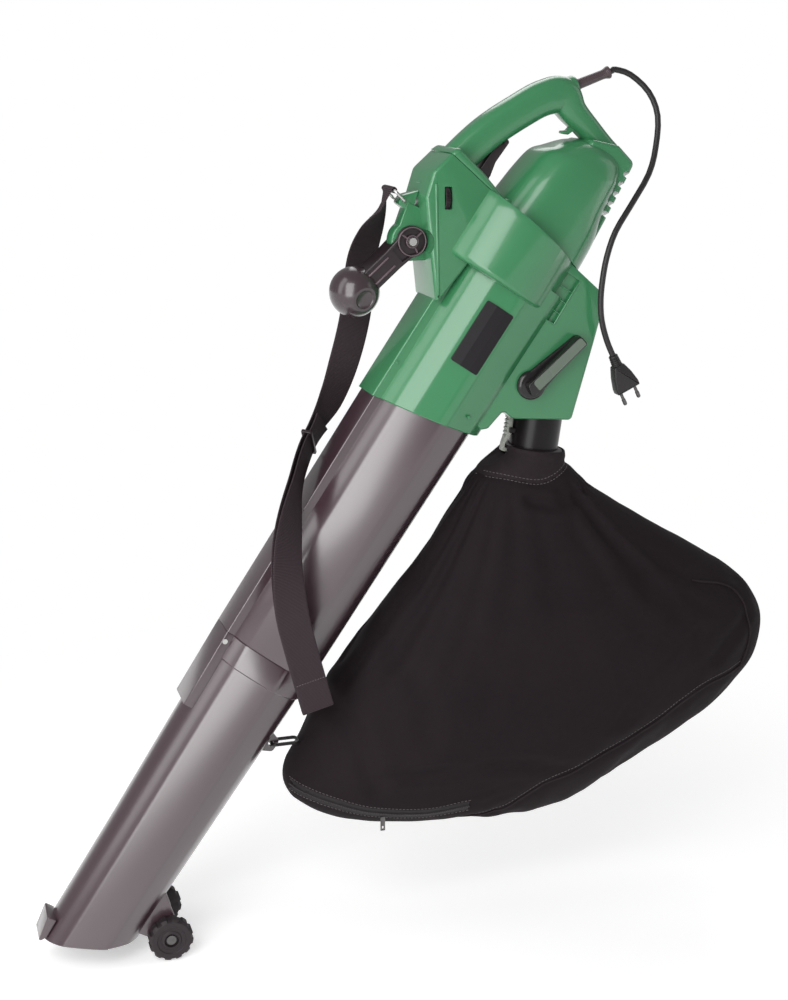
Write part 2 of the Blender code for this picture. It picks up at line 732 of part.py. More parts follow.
def badge_outline(grow=0.0):
    long_half, short_half = BADGE_LENGTH / 2 + grow, BADGE_WIDTH / 2 + grow
    signs = ((-1, -1), (1, -1), (1, 1), (-1, 1))
    return [(BADGE_S + a * long_half, BADGE_T + b * short_half, 0.002) for a, b in signs]


def build_badge():
    """A plain curved plate let into the barrel's left side."""
    plate = put("badge_plate", slab(rounded(badge_outline(), 2), -0.09, -0.03), "black_plastic")
    combine(plate, "INTERSECT", put("badge_face", loft(duct_rings(0.0006))))
    return cut(plate, put("badge_back", loft(duct_rings(-0.0008 + GAP))))


def cooling_cuts():
    """The louvred recess between the fan ring and the lever."""
    outline = rounded(
        [(0.243, -0.064, 0.004), (0.206, -0.080, 0.005), (0.176, -0.080, 0.004), (0.180, -0.060, 0.004)], 2
    )
    pocket = put("louvre_pocket", slab(outline, -DUCT_HALF - 0.03, -DUCT_HALF + 0.0022))
    slots = []
    for k in range(4):
        s = 0.185 + 0.012 * k
        spot = [(s, -0.064), (s + 0.006, -0.064), (s + 0.006, -0.076), (s, -0.076)]
        slots.append(put(f"louvre_slot_{k}", slab(spot, -DUCT_HALF - 0.01, -DUCT_HALF + 0.008)))
    return [pocket] + slots


# Sections of the motor cover: s, half width, underside, top and squareness
COVER_RINGS = (
    (0.2350, 0.0625, -0.0660, 0.0640, 2.6),
    (0.2900, 0.0600, -0.0630, 0.0560, 2.6),
    (0.3400, 0.0560, -0.0600, 0.0430, 2.6),
    (0.3620, 0.0480, -0.0560, 0.0260, 2.5),
    (0.3720, 0.0340, -0.0480, 0.0100, 2.4),
)


def rear_forms():
    """The rear housing's outer shape, in its parts."""
    cover_rings = [oval(s, w, low, high, 36, power) for s, w, low, high, power in COVER_RINGS]
    cover = put("cover_form", loft(cover_rings))
    block_outline = rounded(
        [
            (0.272, -0.0440, 0),
            (0.272, -0.0600, 0),
            (0.309, -0.0570, 0.002),
            (0.3645, -0.0517, 0.002),
            (MOTOR_END_S - 0.0035, -0.0500, 0.008),
            (MOTOR_END_S, -0.0210, 0.006),
            (0.373, 0.0120, 0.006),
            (0.330, 0.0120, 0),
            (0.290, -0.0160, 0),
        ]
    )
    block_form = put("block_form", slab(block_outline, -BLOCK_HALF, BLOCK_HALF, 0.005))
    neck_outline = rounded(
        [
            (0.2380, 0.0300, 0),
            (0.2380, 0.1565, 0),
            (0.2640, 0.1495, 0.004),
            (0.2760, 0.1440, 0.002),
            (0.2690, 0.1050, 0.003),
            (0.2640, 0.0855, 0.003),
            (0.2585, 0.0650, 0.003),
            (0.2640, 0.0500, 0),
            (0.2640, 0.0300, 0),
        ]
    )
    neck = put("neck_form", slab(neck_outline, -SHOULDER_HALF, SHOULDER_HALF, 0.006))
    grip_rings = arc_rings(math.radians(88), math.radians(53.5), GRIP_DEPTH, GRIP_WIDTH, 28, 9)
    grip = put("grip_form", loft(grip_rings))
    strut_outline = rounded(
        [
            (0.372, 0.0620, 0.006),
            (0.384, 0.0985, 0),
            (0.404, 0.0860, 0.012),
            (0.4185, 0.0700, 0.006),
            (0.4170, 0.0480, 0.004),
            (0.4060, 0.0400, 0.010),
            (0.3930, 0.0040, 0),
            (0.3870, -0.0300, 0),
            (0.3550, -0.0300, 0),
            (0.3550, 0.0150, 0),
            (0.3735, 0.0085, 0.004),
        ]
    )
    strut = put("strut_form", slab(strut_outline, -STRUT_HALF, STRUT_HALF, 0.004))
    guard = Vector((GUARD_S, 0, GUARD_T))
    way = guard_way()
    boss_profile = [(-0.012, 0), (-0.012, 0.0125), (0.005, 0.0125), (0.008, 0.0105), (0.008, 0)]
    boss = put("boss_form", turned(boss_profile, 24, along(guard - way * 0.006, way)))
    hook_outline = rounded(
        [
            (0.3900, 0.0220, 0),
            (0.3760, 0.0245, 0.002),
            (0.3655, 0.0290, 0.002),
            (0.3620, 0.0370, 0.0015),
            (0.3650, 0.0380, 0.0015),
            (0.3690, 0.0325, 0.002),
            (0.3900, 0.0300, 0),
        ],
        2,
    )
    hook = put("hook_form", slab(hook_outline, -0.006, 0.006))
    return [cover, block_form, neck, grip, strut, boss, hook]


def guard_way():
    """The level direction in which the cord leaves the handle, as the machine's frame has it."""
    upright = Vector((math.cos(GUARD_RISE), 0, math.sin(GUARD_RISE)))
    return (MACHINE_TURN.inverted() @ upright).normalized()


def rear_cavities():
    back = MOTOR_FRONT_S + MOTOR_LENGTH
    wall = HOUSING_WALL
    inset = []
    for s, width, low, high, power in COVER_RINGS[:-1]:
        slope = SPLIT_SLOPE if not inset else 0.0
        start = SPLIT_S + 0.0045 if not inset else s - 0.0042 * (s > 0.36)
        inset.append(oval(start, width - wall, low + wall, high - wall, 32, power, slope))
    hollow = put("cover_hollow", loft(inset))
    ribs = []
    for k, s in enumerate((MOTOR_FRONT_S + 0.008, back - 0.012)):
        ribs.append(put(f"motor_rib_{k}", block(Matrix.Translation((s, 0, 0)), (0.0016, 0.08, 0.09))))
    cut(hollow, *ribs, solver="MANIFOLD")
    bay = put("motor_bay", rod((0.256, 0, SHAFT_T), (back + GAP, 0, SHAFT_T), MOTOR_R + GAP, 40))
    shaft = put("shaft_way", rod((0.20, 0, SHAFT_T), (0.27, 0, SHAFT_T), BEARING_R, 28))
    low, high = Vector(SWITCH_LOW), Vector(SWITCH_HIGH)
    grow = Vector((GAP, GAP, GAP))
    spot = Matrix.Translation((low + high) / 2)
    pocket = put("switch_pocket", block(spot, (high - low) / 2 + grow))
    button = put("button_hole", rod((SWITCH_BUTTON_S, 0, 0.105), (SWITCH_BUTTON_S, 0, 0.118), 0.0030, 12))
    slot_outline = [
        (TRIGGER_S + 0.0082, 0.099),
        (TRIGGER_S + 0.0082, 0.070),
        (0.2570, 0.070),
        (0.2570, 0.1095),
        (0.290, 0.1065),
    ]
    slot = put("trigger_slot", slab(slot_outline, -TRIGGER_HALF - RUN, TRIGGER_HALF + RUN))
    pin_hole = across(TRIGGER_S, TRIGGER_T, TRIGGER_PIN_R + GAP, TRIGGER_PIN_HALF + GAP, 14)
    pin = put("trigger_pin_hole", pin_hole)
    guard = Vector((GUARD_S, 0, GUARD_T))
    way = guard_way()
    cord_hole = put("cord_hole", rod(guard - way * 0.014, guard + way * 0.02, GUARD_R + GAP, 20))
    vents = []
    for k in range(VENT_COUNT):
        s = VENT_FIRST_S + VENT_PITCH * k
        low = -0.0572 + (s - VENT_FIRST_S) * 0.089
        spot = [
            (s, low - 0.01),
            (s, low + VENT_DEPTH),
            (s + VENT_WIDTH, low + VENT_DEPTH),
            (s + VENT_WIDTH, low - 0.01),
        ]
        vents.append(put(f"vent_{k}", slab(spot, -0.08, 0.08)))
    return [hollow, bay, shaft, pocket, button, slot, pin, cord_hole] + vents


def build_rear_housing():
    forms = rear_forms()
    hollows = rear_cavities()
    for name, side in (("rear_housing_left", -1), ("rear_housing_right", 1)):
        shell = put(name, half_blank(side, False), "green_shell")
        outer = put(f"{name}_outer", mesh_copy(forms[0]))
        join(outer, *forms[1:], solver="MANIFOLD")
        combine(shell, "INTERSECT", outer, solver="MANIFOLD")
        cut(shell, *hollows, solver="MANIFOLD")


def mesh_copy(source):
    bm = bmesh.new()
    bm.from_mesh(source.data)
    return bm


# Front handle


def turn_about(points, centre, angle):
    """Turns (s, t) points about a centre."""
    c, d = math.cos(angle), math.sin(angle)
    ps, pt = centre
    return [(ps + (s - ps) * c - (t - pt) * d, pt + (s - ps) * d + (t - pt) * c) for s, t in points]


def build_front_handle():
    """The fork, drawn lying along the machine and then turned to its rest angle, and its knob."""
    centre = (PIVOT_S, PIVOT_T)
    half = STEM_DEPTH / 2
    ears = []
    for k in range(15):
        a = math.radians(-128 + 256 * k / 14)
        ears.append((PIVOT_S + EAR_R * math.cos(a), PIVOT_T + EAR_R * math.sin(a)))
    far = [(PIVOT_S - 0.030, PIVOT_T + half), (PIVOT_S - STEM_LENGTH, PIVOT_T + half)]
    near = [(s, 2 * PIVOT_T - t) for s, t in far[::-1]]
    lean = STEM_ANGLE - math.pi
    body = turn_about(ears + far + near, centre, lean)
    pivot = (PIVOT_S, 0, PIVOT_T)
    yoke = put("front_handle_fork", slab(body, -STEM_HALF, STEM_HALF, 0.002, 1), "black_plastic", pivot)
    inner = LUG_HALF + GAP
    slot = [(PIVOT_S + 0.05, PIVOT_T + 0.05), (PIVOT_S + 0.05, PIVOT_T - 0.05)]
    arc = []
    for k in range(13):
        a = math.radians(270 - 180 * k / 12)
        arc.append((PIVOT_S + (LUG_R + 0.0015) * math.cos(a), PIVOT_T + (LUG_R + 0.0015) * math.sin(a)))
    gap = put("fork_slot", slab(turn_about(slot + arc, centre, lean), -inner, inner))
    hole = put("fork_hole", across(PIVOT_S, PIVOT_T, PIVOT_BOLT_R + GAP, 0.05))
    way = Vector((math.cos(STEM_ANGLE), 0, math.sin(STEM_ANGLE)))
    middle = Vector((PIVOT_S, 0, PIVOT_T)) + way * STEM_LENGTH
    axle = Vector((0, 1, 0))
    axle.rotate(Matrix.Rotation(KNOB_TURN, 3, way))
    place = along(middle, axle)
    room = put("knob_room", knob(place, GAP))
    cut(yoke, gap, hole, room)
    put("front_handle_knob", knob(place), "black_plastic", pivot)
    bolt_profile = [
        (-EAR_HALF - 0.0003, 0),
        (-EAR_HALF - 0.0003, PIVOT_BOLT_R),
        (EAR_HALF + 0.0042, PIVOT_BOLT_R),
        (EAR_HALF + 0.0042, 0),
    ]
    head = [(-EAR_HALF - 0.0029, 0), (-EAR_HALF - 0.0029, 0.0046), (-EAR_HALF - 0.0003, 0.0058)]
    place = Matrix.Translation((PIVOT_S, 0, PIVOT_T)) @ ACROSS
    put("pivot_bolt", turned(head + bolt_profile[1:], 20, place), "bright_steel")
    start = EAR_HALF + 0.0003
    ring = [(start, 0.0039), (start, 0.0064), (start + 0.0032, 0.0064), (start + 0.0032, 0.0039)]
    put("pivot_nut", turned(ring, 6, place, closed=True), "bright_steel")


def knob(place, grow=0.0):
    long_half = KNOB_HALF / math.sqrt(1 - (KNOB_END_R / KNOB_R) ** 2)
    profile = [(-KNOB_HALF - grow, 0)]
    for k in range(9):
        h = -KNOB_HALF * math.cos(math.pi * k / 8)
        profile.append((h * (1 + grow / KNOB_HALF), KNOB_R * math.sqrt(1 - (h / long_half) ** 2) + grow))
    profile.append((KNOB_HALF + grow, 0))
    return turned(profile, 22, place)


# Controls


def build_trigger():
    outline = rounded(
        [
            (0.3210, 0.0925, 0.0015),
            (0.3180, 0.0860, 0.003),
            (0.2900, 0.0875, 0.012),
            (0.2740, 0.0840, 0.004),
            (0.2620, 0.0835, 0.003),
            (0.2620, 0.1000, 0.002),
            (0.3000, 0.0985, 0.002),
            (0.3185, 0.0965, 0.002),
        ],
        3,
    )
    form = slab(outline, -TRIGGER_HALF, TRIGGER_HALF, 0.0012, 1)
    trigger = put("trigger", form, "black_plastic", (TRIGGER_S, 0, TRIGGER_T))
    pin = across(TRIGGER_S, TRIGGER_T, TRIGGER_PIN_R, TRIGGER_PIN_HALF, 14)
    join(trigger, put("trigger_pin_form", pin))
    low, high = Vector(SWITCH_LOW), Vector(SWITCH_HIGH)
    box = block(Matrix.Translation((low + high) / 2), (high - low) / 2)
    switch = put("trigger_switch", box, "black_plastic")
    stem = rod((SWITCH_BUTTON_S, 0, 0.1150), (SWITCH_BUTTON_S, 0, 0.1060), 0.0022, 12)
    join(switch, put("switch_button", stem))


def build_dial():
    """The speed thumbwheel with its milled rim, on the control module's stub shaft."""
    place = dial_place()
    half = DIAL_THICK / 2
    profile = [(-half, 0.0023), (-half, DIAL_R), (half, DIAL_R), (half, 0.0023)]
    bm = turned(profile, 48, place, closed=True)
    for vert in bm.verts:
        arm = place.inverted() @ vert.co
        reach = math.hypot(arm.x, arm.y)
        if reach > DIAL_R * 0.9 and round(math.atan2(arm.y, arm.x) / (2 * math.pi) * 48) % 2:
            arm.x *= 1 - 0.0008 / reach
            arm.y *= 1 - 0.0008 / reach
            vert.co = place @ arm
    put("speed_dial", bm, "black_plastic", (DIAL_S, DIAL_Y, DIAL_T))
    seat_y = -SHOULDER_HALF + WALL + GAP + 0.0100
    spot = place @ Matrix.Translation((0, seat_y - DIAL_Y, -0.0105))
    box = block(spot, (0.0100, 0.0100, 0.0070))
    module = put("speed_module", box, "copper_board")
    stub = turned([(-0.006, 0), (-0.006, 0.0020), (0.0040, 0.0020), (0.0040, 0)], 14, place)
    join(module, put("module_stub", stub))


def capsule(first, first_r, last, last_r, steps=10):
    """Outline round two circles and their common tangents, in (s, t)."""
    a, b = Vector(first), Vector(last)
    way = b - a
    heading = math.atan2(way.y, way.x)
    open_angle = math.acos((first_r - last_r) / way.length)
    points = []
    for k in range(steps + 1):
        angle = heading + open_angle + (2 * math.pi - 2 * open_angle) * k / steps
        points.append((a.x + first_r * math.cos(angle), a.y + first_r * math.sin(angle)))
    for k in range(steps + 1):
        angle = heading - open_angle + 2 * open_angle * k / steps
        points.append((b.x + last_r * math.cos(angle), b.y + last_r * math.sin(angle)))
    return points


def build_selector():
    """The lever outside, and the spindle and flap that it turns inside the duct."""
    pivot = (LEVER_S, 0, LEVER_T)
    start_y = -DUCT_HALF - GAP
    tip = (LEVER_S + LEVER_LENGTH * math.cos(LEVER_ANGLE), LEVER_T + LEVER_LENGTH * math.sin(LEVER_ANGLE))
    outline = capsule((LEVER_S, LEVER_T), LEVER_HUB_R, tip, LEVER_TIP_R)
    form = slab(outline, start_y - LEVER_THICK, start_y, 0.0016, 1)
    lever = put("selector_lever", form, "black_plastic", pivot)
    fin = []
    for reach, side in ((0.010, 1), (0.078, 1), (0.078, -1), (0.010, -1)):
        c, d = math.cos(LEVER_ANGLE), math.sin(LEVER_ANGLE)
        fin.append((LEVER_S + reach * c - side * FIN_HALF * d, LEVER_T + reach * d + side * FIN_HALF * c))
    join(lever, put("fin_form", slab(fin, start_y - LEVER_THICK - FIN_RISE, start_y - 0.002)))
    ends = [(LEVER_S, y, LEVER_T) for y in (start_y + 0.01, start_y - 0.005)]
    socket = put("lever_socket", rod(*ends, SPINDLE_R - 0.001 + GAP, 16))
    cut(lever, socket)
    inner = DUCT_HALF - WALL - 0.0015
    profile = [
        (start_y - 0.0047, 0),
        (start_y - 0.0047, SPINDLE_R - 0.001),
        (start_y + GAP, SPINDLE_R - 0.001),
        (start_y + GAP, SPINDLE_R),
        (DUCT_HALF - 0.0005, SPINDLE_R),
        (DUCT_HALF - 0.0005, 0),
    ]
    place = Matrix.Translation(pivot) @ ACROSS
    spindle = put("selector_flap", turned(profile, 20, place), "tube_plastic", pivot)
    c, d = math.cos(FLAP_ANGLE), math.sin(FLAP_ANGLE)
    half = FLAP_THICK / 2
    plate = []
    for reach, side in ((0.002, 1), (FLAP_LENGTH, 1), (FLAP_LENGTH, -1), (0.002, -1)):
        plate.append((LEVER_S + reach * c - side * half * d, LEVER_T + reach * d + side * half * c))
    join(spindle, put("flap_form", slab(plate, -inner, inner)))


# Motor and fan


def build_motor():
    front, back = MOTOR_FRONT_S, MOTOR_FRONT_S + MOTOR_LENGTH
    s_axis = along((0, 0, SHAFT_T), (1, 0, 0))
    bore = SHAFT_R + 0.0012
    seat = BEARING_R + GAP
    can = [
        (front, seat),
        (front, MOTOR_R - 0.010),
        (front + 0.004, MOTOR_R - 0.002),
        (front + 0.006, MOTOR_R),
        (back - 0.006, MOTOR_R),
        (back - 0.002, MOTOR_R - 0.004),
        (back, MOTOR_R - 0.012),
        (back, seat),
        (back - BEARING_WIDTH - 0.001, seat),
        (back - BEARING_WIDTH - 0.001, bore),
        (front + BEARING_WIDTH + 0.001, bore),
        (front + BEARING_WIDTH + 0.001, seat),
    ]
    motor = put("motor", turned(can, 30, s_axis, closed=True), "motor_steel")
    windows = []
    for k in range(6):
        place = Matrix.Rotation(math.radians(60 * k + 30), 4, "X")
        spot = place @ Matrix.Translation(((front + back) / 2 - 0.016, 0, MOTOR_R))
        windows.append(put(f"motor_window_{k}", block(spot, (0.012, 0.006, 0.008))))
    cut(motor, *windows)
    ends = (("front_bearing", front + 0.0008), ("rear_bearing", back - BEARING_WIDTH - 0.0005))
    for name, start in ends:
        ring = [
            (start, SHAFT_R + GAP),
            (start, BEARING_R),
            (start + BEARING_WIDTH, BEARING_R),
            (start + BEARING_WIDTH, SHAFT_R + GAP),
        ]
        put(name, turned(ring, 20, s_axis, closed=True), "bright_steel")
    shaft = [
        (FAN_PLATE_S + 0.001, 0),
        (FAN_PLATE_S + 0.001, 0.0030),
        (FAN_PLATE_S + 0.009, SHAFT_R),
        (back + 0.003, SHAFT_R),
        (back + 0.003, 0),
    ]
    put("rotor_shaft", turned(shaft, 20, s_axis), "motor_steel", (FAN_S, 0, SHAFT_T))
    build_impeller(s_axis)
    build_fan_plate()


def build_fan_plate():
    """The disc that closes the fan's chamber, with the inlet eye in line with the shaft."""
    start, end = FAN_PLATE_S, FAN_PLATE_S + FAN_PLATE_THICK
    disc = rod((start, 0, FAN_T), (end, 0, FAN_T), FAN_CAVITY_R - GAP, 32)
    plate = put("fan_cover_plate", disc, "black_plastic")
    eye = rod((start - 0.01, 0, SHAFT_T), (end + 0.01, 0, SHAFT_T), FAN_EYE_R, 24)
    cut(plate, put("fan_eye", eye))


def build_impeller(s_axis):
    """A back plate and hub with curved blades."""
    first = FAN_S - FAN_WIDTH / 2
    last = FAN_S + FAN_WIDTH / 2
    hub = [
        (first + 0.004, SHAFT_R + GAP),
        (first + 0.004, 0.010),
        (last - 0.010, 0.014),
        (last - 0.003, FAN_R),
        (last, FAN_R),
        (last, SHAFT_R + GAP),
    ]
    wheel = put("impeller", turned(hub, 28, s_axis, closed=True), "motor_steel", (FAN_S, 0, SHAFT_T))
    half = 0.0009
    blades = []
    for n in range(FAN_BLADES):
        turn = 2 * math.pi * n / FAN_BLADES
        left, right = [], []
        for k in range(4):
            radius = 0.011 + (FAN_R - 0.0012 - 0.011) * k / 3
            angle = turn + 0.55 * (k / 3) ** 1.5
            middle = Vector((0, radius * math.cos(angle), radius * math.sin(angle)))
            aside = Vector((0, -math.sin(angle), math.cos(angle))) * half
            left.append(middle + aside)
            right.append(middle - aside)
        section = left + right[::-1]
        rings = []
        for s in (first, last - 0.002):
            rings.append([Vector((s, p.y, p.z + SHAFT_T)) for p in section])
        blades.append(put(f"blade_{n}", loft(rings)))
    join(wheel, *blades)


# Outlet, bag, strap and cord: drawn upright, in world axes


def outlet_frame():
    """World frame of the spout: z down its axis, from the outlet's face."""
    top = to_world(OUTLET_S, 0, OUTLET_T)
    down = (MACHINE_TURN @ Vector((OUTLET_DOWN[0], 0, OUTLET_DOWN[1]))).normalized()
    return along(top, down)


def build_spout():
    place = outlet_frame()
    inner = SPOUT_R - SPOUT_WALL
    tube = [
        (-SPOUT_INSERT, inner),
        (-SPOUT_INSERT, SPOUT_R),
        (SPOUT_LENGTH, SPOUT_R),
        (SPOUT_LENGTH, inner),
    ]
    spout = put("outlet_spout", turned(tube, 32, place, closed=True), "black_plastic", in_machine=False)
    start = SPOUT_LENGTH - COLLAR_WIDTH
    inside = SPOUT_R + GAP
    collar = [
        (start, inside),
        (start, SPOUT_R + 0.0025),
        (start + 0.0015, SPOUT_R + 0.0065),
        (start + 0.0042, SPOUT_R + 0.0065),
        (start + 0.0050, SPOUT_R + 0.0035),
        (SPOUT_LENGTH + 0.0005, SPOUT_R + 0.0035),
        (SPOUT_LENGTH + 0.0005, inside),
    ]
    put("bag_collar", turned(collar, 32, place, closed=True), "black_plastic", in_machine=False)
    return spout


def build_catch(spout):
    """The ribbed thumb latch on the spout's left side, and the pin it turns on."""
    place = outlet_frame() @ Matrix.Rotation(math.pi, 4, "Z")
    if (place.to_3x3() @ Vector((1, 0, 0))).x > 0:
        place = outlet_frame()
    reach = SPOUT_R + 0.0042
    drop = CATCH_PIN_DROP
    ears = block(place @ Matrix.Translation((SPOUT_R + 0.0022, 0, drop)), (0.0040, 0.0098, 0.0030))
    join(spout, put("catch_ears", ears, in_machine=False))
    slot = block(place @ Matrix.Translation((SPOUT_R + 0.0062, 0, drop)), (0.0058, 0.0058, 0.0060))
    hole_ends = [place @ Vector((reach, y, drop)) for y in (-0.02, 0.02)]
    hole = rod(*hole_ends, CATCH_PIN_R + GAP, 12)
    cut(spout, put("catch_slot", slot, in_machine=False), put("catch_pin_hole", hole, in_machine=False))
    inner = SPOUT_R - SPOUT_WALL
    clear = [(-0.02, 0), (-0.02, inner), (0.1, inner), (0.1, 0)]
    cut(spout, put("spout_bore", turned(clear, 32, outlet_frame()), in_machine=False))
    base = SPOUT_R + 0.0012
    profile = [
        (base + 0.0022, 0.0020),
        (base + 0.0066, 0.0020),
        (base + 0.0080, 0.0100),
        (base + 0.0080, 0.0300),
        (base + 0.0095, 0.0370),
        (base + 0.0095, 0.0470),
        (SPOUT_R + 0.0045, 0.0470),
        (SPOUT_R + 0.0045, 0.0434),
        (base + 0.0066, 0.0424),
        (base + 0.0066, 0.0370),
        (base + 0.0035, 0.0320),
        (base + 0.0004, 0.0240),
        (base + 0.0004, 0.0160),
    ]
    bm = bmesh.new()
    half = 0.0052
    rings = [[place @ Vector((x, y, z)) for x, z in profile] for y in (-half, half)]
    pivot = place @ Vector((reach, 0, drop))
    catch = put("bag_catch", skin(bm, rings), "grey_plastic", pivot, in_machine=False)
    bore = rod(*hole_ends, CATCH_PIN_R + GAP, 12)
    ribs = []
    for k in range(5):
        spot = place @ Matrix.Translation((base + 0.0080, 0, 0.0045 + 0.0048 * k))
        ribs.append(put(f"catch_groove_{k}", block(spot, (0.0016, 0.0070, 0.0010)), in_machine=False))
    cut(catch, put("catch_bore", bore, in_machine=False), *ribs)
    pin_ends = [place @ Vector((reach, y, drop)) for y in (-0.0094, 0.0094)]
    put("catch_pin", rod(*pin_ends, CATCH_PIN_R, 12), "bright_steel", pivot, in_machine=False)


ZIP_X, ZIP_Z, ZIP_LENGTH, ZIP_THICK = -0.1627, -0.8290, 0.018, 0.0016

# Slices of the hanging bag: drop below the spout's end, left and right edge, and half thickness
BAG_SLICES = (
    (0.0006, -0.035, 0.035, 0.035),
    (0.008, -0.045, 0.047, 0.038),
    (0.020, -0.072, 0.064, 0.042),
    (0.030, -0.084, 0.083, 0.046),
    (0.050, -0.100, 0.117, 0.054),
    (0.090, -0.131, 0.184, 0.069),
    (0.153, -0.176, 0.285, 0.086),
    (0.200, -0.210, 0.324, 0.097),
    (0.243, -0.238, 0.331, 0.104),
    (0.290, -0.266, 0.315, 0.106),
    (0.335, -0.290, 0.273, 0.102),
    (0.375, -0.312, 0.208, 0.092),
    (0.408, -0.302, 0.153, 0.080),
    (0.432, -0.262, 0.106, 0.066),
    (0.446, -0.200, 0.075, 0.048),
    (0.456, -0.130, 0.045, 0.032),
    (0.464, -0.070, 0.012, 0.015),
)


def bag_ring(drop, left, right, half, count):
    end = to_world(*BAG_TOP)
    middle, reach = (left + right) / 2, (right - left) / 2
    ring = []
    for k in range(count):
        a = 2 * math.pi * k / count
        x = middle + reach * math.copysign(abs(math.cos(a)) ** 0.9, math.cos(a))
        y = half * math.copysign(abs(math.sin(a)) ** 0.9, math.sin(a))
        ring.append((end.x + x, y, end.z - drop))
    return ring


def bag_slice(z):
    """The bag at a height in the world: its left and right edge and its half thickness."""
    end = to_world(*BAG_TOP)
    drop = end.z - z
    for low, high in zip(BAG_SLICES, BAG_SLICES[1:]):
        if low[0] <= drop <= high[0]:
            share = (drop - low[0]) / (high[0] - low[0])
            left, right, half = [a + (b - a) * share for a, b in zip(low[1:], high[1:])]
            return end.x + left, end.x + right, half
    return end.x, end.x, 0.0


def build_bag():
    """The bag, hanging full of air from the collar, with its zip's puller and its toe strap."""
    place = outlet_frame()
    neck = [place @ Vector((x, y, SPOUT_LENGTH + 0.0008)) for x, y in circle(SPOUT_R + 0.0032, BAG_SIDES)]
    slices = [bag_ring(*row, BAG_SIDES) for row in BAG_SLICES[1:]]
    start = slices[0][0]
    turn = min(range(BAG_SIDES), key=lambda k: (neck[k] - Vector(start)).length)
    step = 1 if (neck[(turn + 1) % BAG_SIDES] - Vector(slices[0][1])).length < 0.02 else -1
    neck = [neck[(turn + step * k) % BAG_SIDES] for k in range(BAG_SIDES)]
    bag = put("collection_bag", loft([neck] + slices), "bag_fabric", in_machine=False)
    return bag


def build_zip_puller():
    """The zip's puller, hanging by its slider from the bag's lower left side."""
    x, z = ZIP_X, ZIP_Z
    left, right, half = bag_slice(z + ZIP_LENGTH / 12)
    aside = abs(x - (left + right) / 2) / ((right - left) / 2)
    y = -half * (1 - aside ** (2 / 0.9)) ** 0.45 - ZIP_THICK / 2
    bm = block(Matrix.Translation((x, y, z - 0.0075)), (0.0028, ZIP_THICK / 2, ZIP_LENGTH / 2))
    puller = put("zip_puller", bm, "bright_steel", (x, y, z), in_machine=False)
    eye = block(Matrix.Translation((x, y, z - 0.0125)), (0.0012, 0.01, 0.0020))
    cut(puller, put("puller_eye", eye, in_machine=False))


def circle(radius, count):
    angles = [2 * math.pi * k / count for k in range(count)]
    return [(radius * math.cos(a), radius * math.sin(a)) for a in angles]


def smooth_path(points, steps):
    """Catmull-Rom curve through points of any dimension, with so many steps in each span."""
    path = []
    for k in range(len(points) - 1):
        four = [points[max(k - 1, 0)], points[k], points[k + 1], points[min(k + 2, len(points) - 1)]]
        for step in range(steps):
            u = step / steps
            weights = (
                (-u + 2 * u * u - u**3) / 2,
                (2 - 5 * u * u + 3 * u**3) / 2,
                (u + 4 * u * u - 3 * u**3) / 2,
                (u**3 - u * u) / 2,
            )
            path.append([sum(w * p[axis] for w, p in zip(weights, four)) for axis in range(len(points[0]))])
    path.append(list(points[-1]))
    return path


# The strap's middle line: x, z, y, then the turn of its width from across the machine to along it
STRAP_LINE = (
    (-0.1425, -0.0900, 0.004, 10),
    (-0.1495, -0.1210, 0.026, 40),
    (-0.1560, -0.1600, 0.046, 75),
    (-0.1635, -0.2275, 0.050, 90),
    (-0.1780, -0.2830, 0.050, 85),
    (-0.1960, -0.3260, 0.046, 65),
    (-0.2310, -0.3700, 0.024, 35),
    (-0.2600, -0.4090, -0.026, 30),
    (-0.2830, -0.4750, -0.078, 65),
    (-0.2810, -0.5361, -0.090, 88),
    (-0.2706, -0.5861, -0.090, 90),
    (-0.2516, -0.6600, -0.090, 90),
)
STRAP_GAP = 0.0052
STRAP_FOLD = 11


def strap_frames(line):
    """Points of the band, each with the direction of its width and that of its face."""
    frames = []
    for k, (x, z, y, turn) in enumerate(line):
        here = Vector((x, y, z))
        before = Vector((line[max(k - 1, 0)][0], line[max(k - 1, 0)][2], line[max(k - 1, 0)][1]))
        nxt = line[min(k + 1, len(line) - 1)]
        tangent = (Vector((nxt[0], nxt[2], nxt[1])) - before).normalized()
        a = math.radians(turn)
        rough = Vector((math.sin(a), math.cos(a), 0))
        wide = (rough - tangent * rough.dot(tangent)).normalized()
        face = wide.cross(tangent).normalized()
        frames.append((here, wide, face))
    return frames


